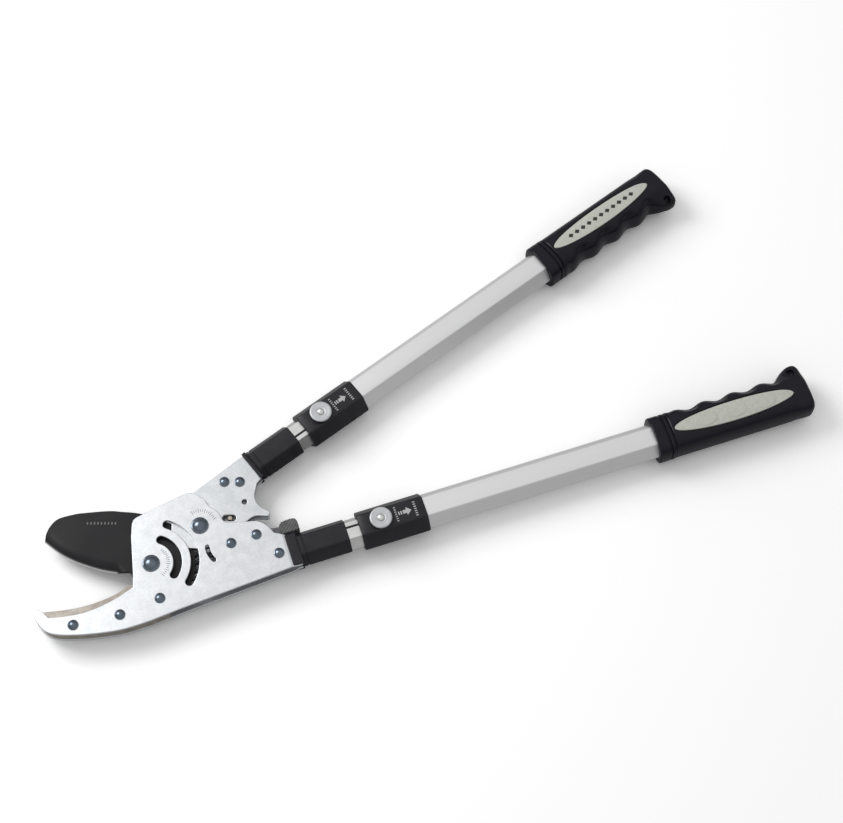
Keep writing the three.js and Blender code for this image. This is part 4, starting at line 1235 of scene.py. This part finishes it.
@dataclass
class Latch:
    """The pawls, the release lever with its thumb pad, and their springs."""

    pad_corners: tuple = (
        (-79.5, 15.7), (-66.7, 15.7), (-65.2, 17.6), (-65.5, 23.8), (-68.6, 26.4), (-77.9, 25.8), (-81.3, 21),
    )

    def pad_top(self, flat: np.ndarray) -> np.ndarray:
        """The pad's ribbed top: two crossing sets of ridges, highest where they meet."""
        along, across = (flat[:, 0] + flat[:, 1]) / 3.0, (flat[:, 0] - flat[:, 1]) / 3.0
        return 7.0 + 1.0 * np.abs(np.sin(np.pi * along)) * np.abs(np.sin(np.pi * across))

    def build(self) -> None:
        """Makes the thumb pad and springs, and dresses the pawls."""
        corners = np.array(self.pad_corners)
        outline = Path(corners[0]).through([*corners[1:], corners[0]], 16).loop(0.5)
        pad = cushion(outline, -6.95, self.pad_top, 0.9, 30)
        add_piece("release_thumb_pad", pad, LOWER, GREY_PLASTIC,
                  Rides("release_lever", "grey_plastic", ("thumb_pad",)))
        springs = {
            "blade_return": coil(BLADE_PIVOT, 12.3, 0.5, -4.4, -2.3, 2.0),
            "holding_pawl": coil(PAWL_PIVOT, 3.8, 0.42, -4.4, -2.3, 2.3),
        }
        for name, spring in springs.items():
            rides = Rides("frame", "bare_steel", (f"{name}_spring",))
            add_piece(f"{name}_coil", spring, HEAD_PLACE, PIN_STEEL, rides, COIL_ANGLE)
        for node in ("drive_pawl", "holding_pawl", "pawl_stop_pin", "release_lever", "drive_pawl_spring"):
            dress_node(node, HARD_STEEL)


@dataclass
class Handle:
    """One telescoping handle: ferrule, inner tube, outer tube, and the lock collar with its button."""

    side: str
    place: Place
    holder: str
    tube: Finish
    # where the black pads of painted shade start along the handle, and how high they stand
    shade_pad_from: float
    shade_pad_height: float

    def sleeve(self) -> Surface:
        """The outer tube with eased ends."""
        return hex_body([
            (-15.1, -1.5, 0.8), (-15.1, -0.4, 1.4), (-14.8, 0, 1.7), (100, 0, 1.7), (240, 0, 1.7),
            (364.7, 0, 1.7), (365, -0.4, 1.4), (365, -1.5, 0.8), (100, -1.5, 0.8),
        ], hollow=True)

    def ferrule(self) -> Surface:
        """The black sleeve over the head's tang: closed in front, open behind, with a lip and a groove."""
        return hex_body([
            (-67.1, -1.6, 1.0), (FERRULE_END, -1.6, 1.0), (FERRULE_END, -0.9, 1.4),
            (FERRULE_END - 0.5, -0.5, 1.8), (-65.6, -0.5, 1.8), (-65.9, -1.1, 1.6), (-66.7, -1.1, 1.6),
            (-67.0, -0.5, 1.8), (-69.6, -0.5, 1.8), (FERRULE_START, -1.2, 1.6),
        ], hollow=False)

    def collar(self) -> Surface:
        """The lock collar: a thick sleeve with eased ends and a shallow groove behind its front lip."""
        return hex_body([
            (COLLAR_END, 0.3, 1.0), (-15.4, 0.3, 1.0), (-15.4, -1.6, 0.8), (COLLAR_START, -1.6, 0.8),
            (COLLAR_START, 0.7, 2.4), (COLLAR_START + 0.4, 1.3, 2.6), (COLLAR_START + 1.0, 1.6, 2.6),
            (-10, 1.6, 2.6), (26, 1.6, 2.6), (COLLAR_END - 1.1, 1.6, 2.6), (COLLAR_END - 0.4, 1.3, 2.6),
            (COLLAR_END, 0.7, 2.4),
        ], hollow=True)

    def shade_pad(self) -> Surface:
        """Two low black pads where the head's plates enter the ferrule, one on each face; they paint the shade where
        the plates step down into the ferrule.
        """
        first, low, high = self.shade_pad_from, LEVER_OUT + 0.1, self.shade_pad_height
        outline = Path((first, -12.4)).bend((first, -13.9), (first + 1.5, -13.9), 6)
        outline.line((-69.9, -13.9), (-69.9, 13.9), (first + 1.5, 13.9)).bend((first, 13.9), (first, 12.4), 6)
        front = Sheet([outline.loop(2.0)], low, high, 0.7).surface()
        return joined([front, mirrored_z(front)])

    def groove_strip(self) -> Surface:
        """A black strip that paints the shadow in the bottom of the groove along the inner tube."""
        top = TUBE_THICKNESS / 2 - 1.9
        strips = []
        for first, last in self.groove_runs():
            outline = bar_path(first, last, GROOVE_SIDE - GROOVE_HALF, GROOVE_SIDE + GROOVE_HALF)
            strips.append(Sheet([outline.loop(20.0)], top - 0.75, top - 0.12, 0.05).surface())
        return joined(strips)

    def groove_runs(self) -> list[tuple[float, float]]:
        """The stretches of the groove between the lock holes, where the pin never comes."""
        stops = [index * TRAVEL / (LOCK_STEPS - 1) for index in range(LOCK_STEPS)]
        starts = [FERRULE_END - 0.6] + [stop + PIN_CLEARANCE for stop in stops]
        return list(zip(starts, [stop - PIN_CLEARANCE for stop in stops]))

    def marks(self) -> Surface:
        """A plain arrow towards the grip and two rows of short bars, raised a hair over the collar's top."""
        top = TUBE_THICKNESS / 2 + 1.6
        shapes = [bar_path(first, last, -1.6, 1.6).loop() for first, last in [(15.0, 16.0), (16.8, 18.0)]]
        arrow = Path((18.8, -1.6)).line((22.0, -1.6), (22.0, -3.6), (26.2, 0), (22.0, 3.6), (22.0, 1.6))
        shapes.append(arrow.line((18.8, 1.6)).loop())
        for first, last in [(12.2, 13.8), (28.6, 30.6)]:
            for p in np.linspace(-6.0, 6.0, 7):
                shapes.append(bar_path(first, last, p - 0.45, p + 0.45).loop())
        return joined([Sheet([shape], top - 0.3, top + 0.12, 0.06).surface() for shape in shapes])

    def build(self) -> None:
        """Makes the handle's pieces on its fixed and its sliding body."""
        side, body = self.side, f"{self.side}_handle"
        add_piece(f"{side}_ferrule_sleeve", self.ferrule(), self.place, BLACK_PLASTIC,
                  Rides(self.holder, "black_plastic", (f"{side}_ferrule",)))
        tube = add_piece(f"{side}_tube_sleeve", self.sleeve(), self.place, self.tube,
                         Rides(body, "aluminium", (f"{side}_outer_tube",)))
        collar = add_piece(f"{side}_collar_body", self.collar(), self.place, BLACK_PLASTIC,
                           Rides(body, "black_plastic", (f"{side}_lock_collar",)))
        for piece in (tube, collar):
            carve(piece, [turned_surface([[0, 5], [3.4, 5], [3.4, 25], [0, 25]], (0, 0), 40)], self.place)
        add_piece(f"{side}_collar_marks", self.marks(), self.place, PRINT_WHITE, Rides(body, "black_plastic"))
        # black pads: painted shade where the head's plates step down into the ferrule
        add_piece(f"{side}_ferrule_shade_pad", self.shade_pad(), self.place, BLACK_PLASTIC,
                  Rides(self.holder, "black_plastic"))
        # a black strip: painted shadow along the bottom of the inner tube's groove
        add_piece(f"{side}_groove_shadow_strip", self.groove_strip(), self.place, BLACK_PLASTIC,
                  Rides(self.holder, "black_plastic"))
        self.button()
        dress_node(f"{side}_inner_tube", BRIGHT_TUBE)
        dress_node(f"{side}_tube_slide", BLACK_PLASTIC)

    def button(self) -> None:
        """Makes the push button, its stud and the spring under it."""
        side, body = self.side, f"{self.side}_button"
        cap = turned_surface(
            [[2.6, 15.4], [8.8, 15.4], [9.2, 15.6], [9.3, 16.0], [9.3, 16.4], [9.15, 16.75], [8.5, 17.15], [8.0, 17.2],
             [6.5, 17.0], [4.6, 16.9], [3.9, 16.95], [3.5, 16.7], [2.6, 16.7]], (0, 0), 72,
        )
        add_piece(f"{side}_button_disc", cap, self.place, BUTTON_GREY,
                  Rides(body, "button_grey", (f"{side}_button_cap",)), ROUND_ANGLE)
        stud = turned_surface(np.vstack([[[0, 15.2], [2.4, 15.2], [2.4, 16.9], [2.9, 17.0], [2.95, 17.25]],
                                         dome(2.9, 1.15, 17.35, 8)]), (0, 0), 40)
        add_piece(f"{side}_button_stud", stud, self.place, BRIGHT_TUBE,
                  Rides(body, "rivet_steel", (f"{side}_button_rivet",)), ROUND_ANGLE)
        spring = coil((0, 0), 4.4, 0.4, 13.2, 15.3, 2.4)
        piece = add_piece(f"{side}_button_coil", spring, self.place, PIN_STEEL,
                          Rides(f"{side}_handle", "bare_steel", (f"{side}_button_spring",)), COIL_ANGLE)
        anchor = self.place.to_row(np.array([0.0, 0.0, 13.2]))
        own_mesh(piece)
        dress_node(f"{side}_lock_pin", HARD_STEEL)


@dataclass
class Grip:
    """A moulded grip with finger scallops, a flared end with a hang hole, and an inlay front and rear."""

    side: str
    place: Place
    crest: float = 19.0
    back: float = -18.3
    tip: float = 27.6
    mouth_at: float = 2.2
    end_at: float = 144.4
    half_height: float = 16.5
    squareness: float = 2.8
    finger_pitch: float = 26.1
    first_crest: float = 27.5
    scallop: float = 3.0
    inlay_middle: tuple = (74.0, -1.2)
    inlay_half: tuple = (54.0, 8.5)
    hang_hole: tuple = (135.4, 19.6)

    def limits(self, u: np.ndarray) -> tuple[np.ndarray, np.ndarray, np.ndarray]:
        """The section's lowest p, highest p and half height at each u: neck, grooves, body and flare."""
        body = smooth_step(u, 16.4, 18.6)
        groove = 1.1 * (smooth_step(u, 11.2, 11.8) - smooth_step(u, 12.8, 13.4))
        groove = groove + 0.9 * (smooth_step(u, 15.7, 16.2) - smooth_step(u, 16.6, 17.6))
        front_round = 5 * (1 - np.sqrt(1 - np.clip((u - self.end_at + 5) / 5, 0, 0.995) ** 2))
        back_round = 5.5 * (1 - np.sqrt(1 - np.clip((u - self.end_at + 5.5) / 5.5, 0, 0.995) ** 2))
        mouth = 1.2 * (1 - np.sqrt(1 - np.clip((1.2 + self.mouth_at - u) / 1.2, 0, 1) ** 2))
        high = self.crest + 0.2 * (1 - body) + (self.tip - self.crest) * smooth_step(u, 117, 138)
        low = self.back - 0.9 * (1 - body)
        half = self.half_height - 1.2 * (1 - body) - 3.4 * smooth_step(u, 116, 144)
        trim = groove + mouth
        return low + back_round + trim, high - front_round - trim, half - front_round - trim

    def skin(self, u: np.ndarray, theta: np.ndarray) -> np.ndarray:
        """The grip's skin.

        Each section is a superellipse |x|^n + |z|^n = 1 between its limits; scallops press in on the fingers'
        side, the flare's faces are hollowed, and a pocket lies under each inlay.

        Args:
            u: rows along the grip.
            theta: columns round it, 0 on the fingers' side.

        Returns:
            (rows, columns, 3) of s, p, z.
        """
        u, theta = u[:, None], theta[None, :]
        low, high, half = self.limits(u)
        cosine, sine = np.cos(theta), np.sin(theta)
        power = 2 / (self.squareness + 0.9 * smooth_step(u, 127, 141))
        p = (high + low) / 2 + (high - low) / 2 * np.sign(cosine) * np.abs(cosine) ** power
        z = half * np.sign(sine) * np.abs(sine) ** power
        facing = 1 - smooth_step(np.degrees(np.abs(np.arctan2(sine, cosine))), 44, 74)
        wave = 0.5 - 0.5 * np.cos(2 * np.pi * (u - self.first_crest) / self.finger_pitch)
        scoop = self.scallop * wave * facing * smooth_step(u, 19, 27) * (1 - smooth_step(u, 116, 130))
        p = p - scoop * cosine
        z = z - scoop * sine
        hollow = 6.0 * smooth_step(u, 112, 134) * smooth_step(p, 6, 21)
        z = z * (1 - hollow / self.half_height)
        pocket = 1 - ((u - self.inlay_middle[0]) / (self.inlay_half[0] + 1.8)) ** 2
        pocket = pocket - ((p - self.inlay_middle[1]) / (self.inlay_half[1] + 1.25)) ** 2
        z = z - np.sign(z) * 1.1 * smooth_step(pocket, 0.0, 0.07) * (np.abs(z) > 8)
        return np.stack([GRIP_START + u + 0 * theta, p, z + 0 * u], axis=-1)

    def top(self, u: np.ndarray, p: np.ndarray) -> np.ndarray:
        """The skin's height at a place on the front, without the pocket."""
        low, high, half = self.limits(u)
        x = np.clip(np.abs(p - (high + low) / 2) / ((high - low) / 2), 0, 0.999)
        return half * (1 - x**self.squareness) ** (1 / self.squareness)

    def bore(self, theta: np.ndarray, growth: float) -> np.ndarray:
        """The tube's hexagon as a radius round its axis: the nearest of six planes in each direction."""
        half, wide, flat = TUBE_THICKNESS / 2, TUBE_WIDTH / 2, TUBE_FLAT / 2
        lean = math.atan2(wide - flat, half)
        reach = np.array([wide * math.cos(lean), half, wide * math.cos(lean)] * 2) + growth
        turn = np.array([lean, math.pi / 2, math.pi - lean, math.pi + lean, 1.5 * math.pi, -lean])
        facing = np.maximum(np.cos(theta[:, None] - turn), 1e-3)
        radius = (reach / facing).min(axis=1)
        return np.stack([radius * np.cos(theta), radius * np.sin(theta)], axis=-1)

    def body(self) -> Surface:
        """The grip: bore from its bottom to the mouth, then the skin from the mouth to the closed end."""
        theta = np.linspace(0, 2 * np.pi, 216, endpoint=False)
        near_end = self.end_at - 5 + 5 * np.sin(np.linspace(0, np.pi / 2, 9))[:-1]
        u = np.concatenate([
            self.mouth_at + np.linspace(0, 1.2, 5), np.arange(4.5, 10.9, 1.5), np.arange(11, 19, 0.3),
            np.arange(19.2, 133, 0.55), np.arange(133, self.end_at - 5.2, 1.0), near_end, [self.end_at - 0.025],
        ])
        skin = self.skin(u, theta)
        section = self.bore(theta, 0.15)
        inner = []
        for depth in (127.3, 60, self.mouth_at):
            inner.append(np.column_stack([np.full(len(theta), GRIP_START + depth), section]))
        return rings_surface(np.concatenate([np.stack(inner), skin]))

    def inlay(self) -> Surface:
        """The front inlay: an ellipse that follows the crowned top, just below flush at its rim."""
        angle = np.linspace(0, 2 * np.pi, 180, endpoint=False)
        outline = np.array(self.inlay_middle) + np.stack([
            self.inlay_half[0] * np.cos(angle), self.inlay_half[1] * np.sin(angle)], axis=-1)

        def height(flat: np.ndarray) -> np.ndarray:
            """The inlay's top, with three low ovals on the lower handle's."""
            rise = self.top(flat[:, 0], flat[:, 1]) + 0.2
            if self.side == "lower":
                for middle in (48.0, 75.0, 101.5):
                    along, across = (flat[:, 0] - middle) / 10, (flat[:, 1] - self.inlay_middle[1]) / 6.4
                    oval = 1 - along**2 - across**2
                    rise = rise + 0.35 * smooth_step(oval, 0, 0.16)
            return rise

        surface = cushion(outline, 13.4, height, 0.4, 80)
        surface.points[:, 0] += GRIP_START
        return surface

    def diamonds(self) -> Surface:
        """A row of small plain diamonds on the upper handle's inlay."""
        shapes = []
        for u in np.linspace(39, 109, 11):
            p = self.inlay_middle[1]
            outline = Path((u - 2.7, p)).line((u, p - 2.3), (u + 2.7, p), (u, p + 2.3)).loop()
            top = float(self.top(np.array([u]), np.array([p]))[0]) + 0.2
            sheet = Sheet([outline], top - 0.4, top + 0.1, 0.05).surface()
            sheet.points[:, 0] += GRIP_START
            shapes.append(sheet)
        return joined(shapes)

    def build(self) -> None:
        """Makes the grip and its inlays."""
        side, rides = self.side, f"{self.side}_handle"
        grip = add_piece(f"{side}_grip_body", self.body(), self.place, GRIP_RUBBER,
                         Rides(rides, "grip_rubber", (f"{side}_grip",)))
        centre = (GRIP_START + self.hang_hole[0], self.hang_hole[1])
        cutter = turned_surface([[0, -30], [3.4, -30], [3.4, 30], [0, 30]], centre, 40)
        carve(grip, [cutter], self.place)
        front = self.inlay()
        add_piece(f"{side}_front_inlay_pad", front, self.place, INLAY_RUBBER,
                  Rides(rides, "grip_inlay", (f"{side}_front_inlay",)))
        add_piece(f"{side}_rear_inlay_pad", mirrored_z(front), self.place, INLAY_RUBBER,
                  Rides(rides, "grip_inlay", (f"{side}_rear_inlay",)))
        if side == "upper":
            add_piece("upper_inlay_diamonds", self.diamonds(), self.place, PRINT_DARK,
                      Rides(rides, "grip_inlay"))


# ---- Studio ----
@dataclass
class Studio:
    """A white floor, soft light from above and behind, and the camera."""

    elevation: float = 64.0
    distance: float = 1.516
    lens: float = 76.16
    target: tuple = (-0.0127, -0.0202, 0.0165)
    sky: float = 0.62
    horizon: float = 0.22
    key_power: float = 13.0
    floor_seen: float = 1.32
    floor_albedo: float = 0.55

    def camera(self) -> None:
        """Looks at the target from the front, at the elevation."""
        lift = math.radians(self.elevation)
        camera = bpy.data.objects.new("camera", bpy.data.cameras.new("camera"))
        camera.data.lens = self.lens
        camera.data.sensor_width = 36.0
        reach = Vector((0, -math.cos(lift), math.sin(lift))) * self.distance
        camera.location = Vector(self.target) + reach
        camera.rotation_euler = (math.radians(90) - lift, 0, 0)
        bpy.context.scene.collection.objects.link(camera)
        bpy.context.scene.camera = camera

    def floor(self) -> None:
        """A wide white floor just under the tool."""
        low = CAD_BOX[0][2] - 0.001
        mesh = bpy.data.meshes.new("floor")
        mesh.from_pydata([(-4, -4, low), (4, -4, low), (4, 4, low), (-4, 4, low)], [], [(0, 1, 2, 3)])
        floor = bpy.data.objects.new("floor", mesh)
        material = bpy.data.materials.new("floor_white")
        material.use_nodes = True
        nodes, links = material.node_tree.nodes, material.node_tree.links
        nodes.remove(nodes["Principled BSDF"])
        matte, path, tone = (nodes.new(kind) for kind in (
            "ShaderNodeBsdfDiffuse", "ShaderNodeLightPath", "ShaderNodeMapRange"))
        tone.inputs["To Min"].default_value = self.floor_albedo
        tone.inputs["To Max"].default_value = self.floor_seen
        links.new(path.outputs["Is Camera Ray"], tone.inputs["Value"])
        links.new(tone.outputs["Result"], matte.inputs["Color"])
        links.new(matte.outputs[0], nodes["Material Output"].inputs["Surface"])
        mesh.materials.append(material)
        bpy.context.scene.collection.objects.link(floor)

    def lights(self) -> None:
        """A sky that is bright overhead and dim at the horizon, and one large soft key light."""
        world = bpy.data.worlds.new("studio")
        bpy.context.scene.world = world
        world.use_nodes = True
        nodes, links = world.node_tree.nodes, world.node_tree.links
        background = nodes["Background"]
        background.inputs["Color"].default_value = (1, 1, 1, 1)
        where, split = nodes.new("ShaderNodeTexCoord"), nodes.new("ShaderNodeSeparateXYZ")
        tone = nodes.new("ShaderNodeMapRange")
        tone.inputs["From Min"].default_value, tone.inputs["From Max"].default_value = 0.0, 0.8
        tone.inputs["To Min"].default_value, tone.inputs["To Max"].default_value = self.horizon, self.sky
        links.new(where.outputs["Generated"], split.inputs[0])
        links.new(split.outputs["Z"], tone.inputs["Value"])
        links.new(tone.outputs["Result"], background.inputs["Strength"])
        key = bpy.data.objects.new("key", bpy.data.lights.new("key", "AREA"))
        key.data.energy = self.key_power
        key.data.size = 0.9
        key.location = (-1.15, 0.5, 1.15)
        key.rotation_euler = (Vector(self.target) - key.location).to_track_quat("-Z", "Y").to_euler()
        bpy.context.scene.collection.objects.link(key)
        bpy.context.scene.view_settings.view_transform = "Standard"

    def build(self) -> None:
        """Makes the floor, the lights and the camera."""
        self.floor()
        self.lights()
        self.camera()


def main() -> None:
    """Builds the tool and its studio in order."""
    logging.basicConfig(level=logging.INFO, format="%(name)s: %(message)s")
    Studio().build()
    HeadFrame().build()
    CuttingBlade().build()
    LeverHead().build()
    Latch().build()
    Handle("lower", LOWER, "frame", TUBE_LOWER, shade_pad_from=-79.4, shade_pad_height=7.05).build()
    Grip("lower", LOWER, tip=27.6).build()
    Handle("upper", UPPER, "lever", TUBE_UPPER, shade_pad_from=-73.6, shade_pad_height=6.2).build()
    Grip("upper", UPPER, tip=25.0).build()


if __name__ == "__main__":
    main()
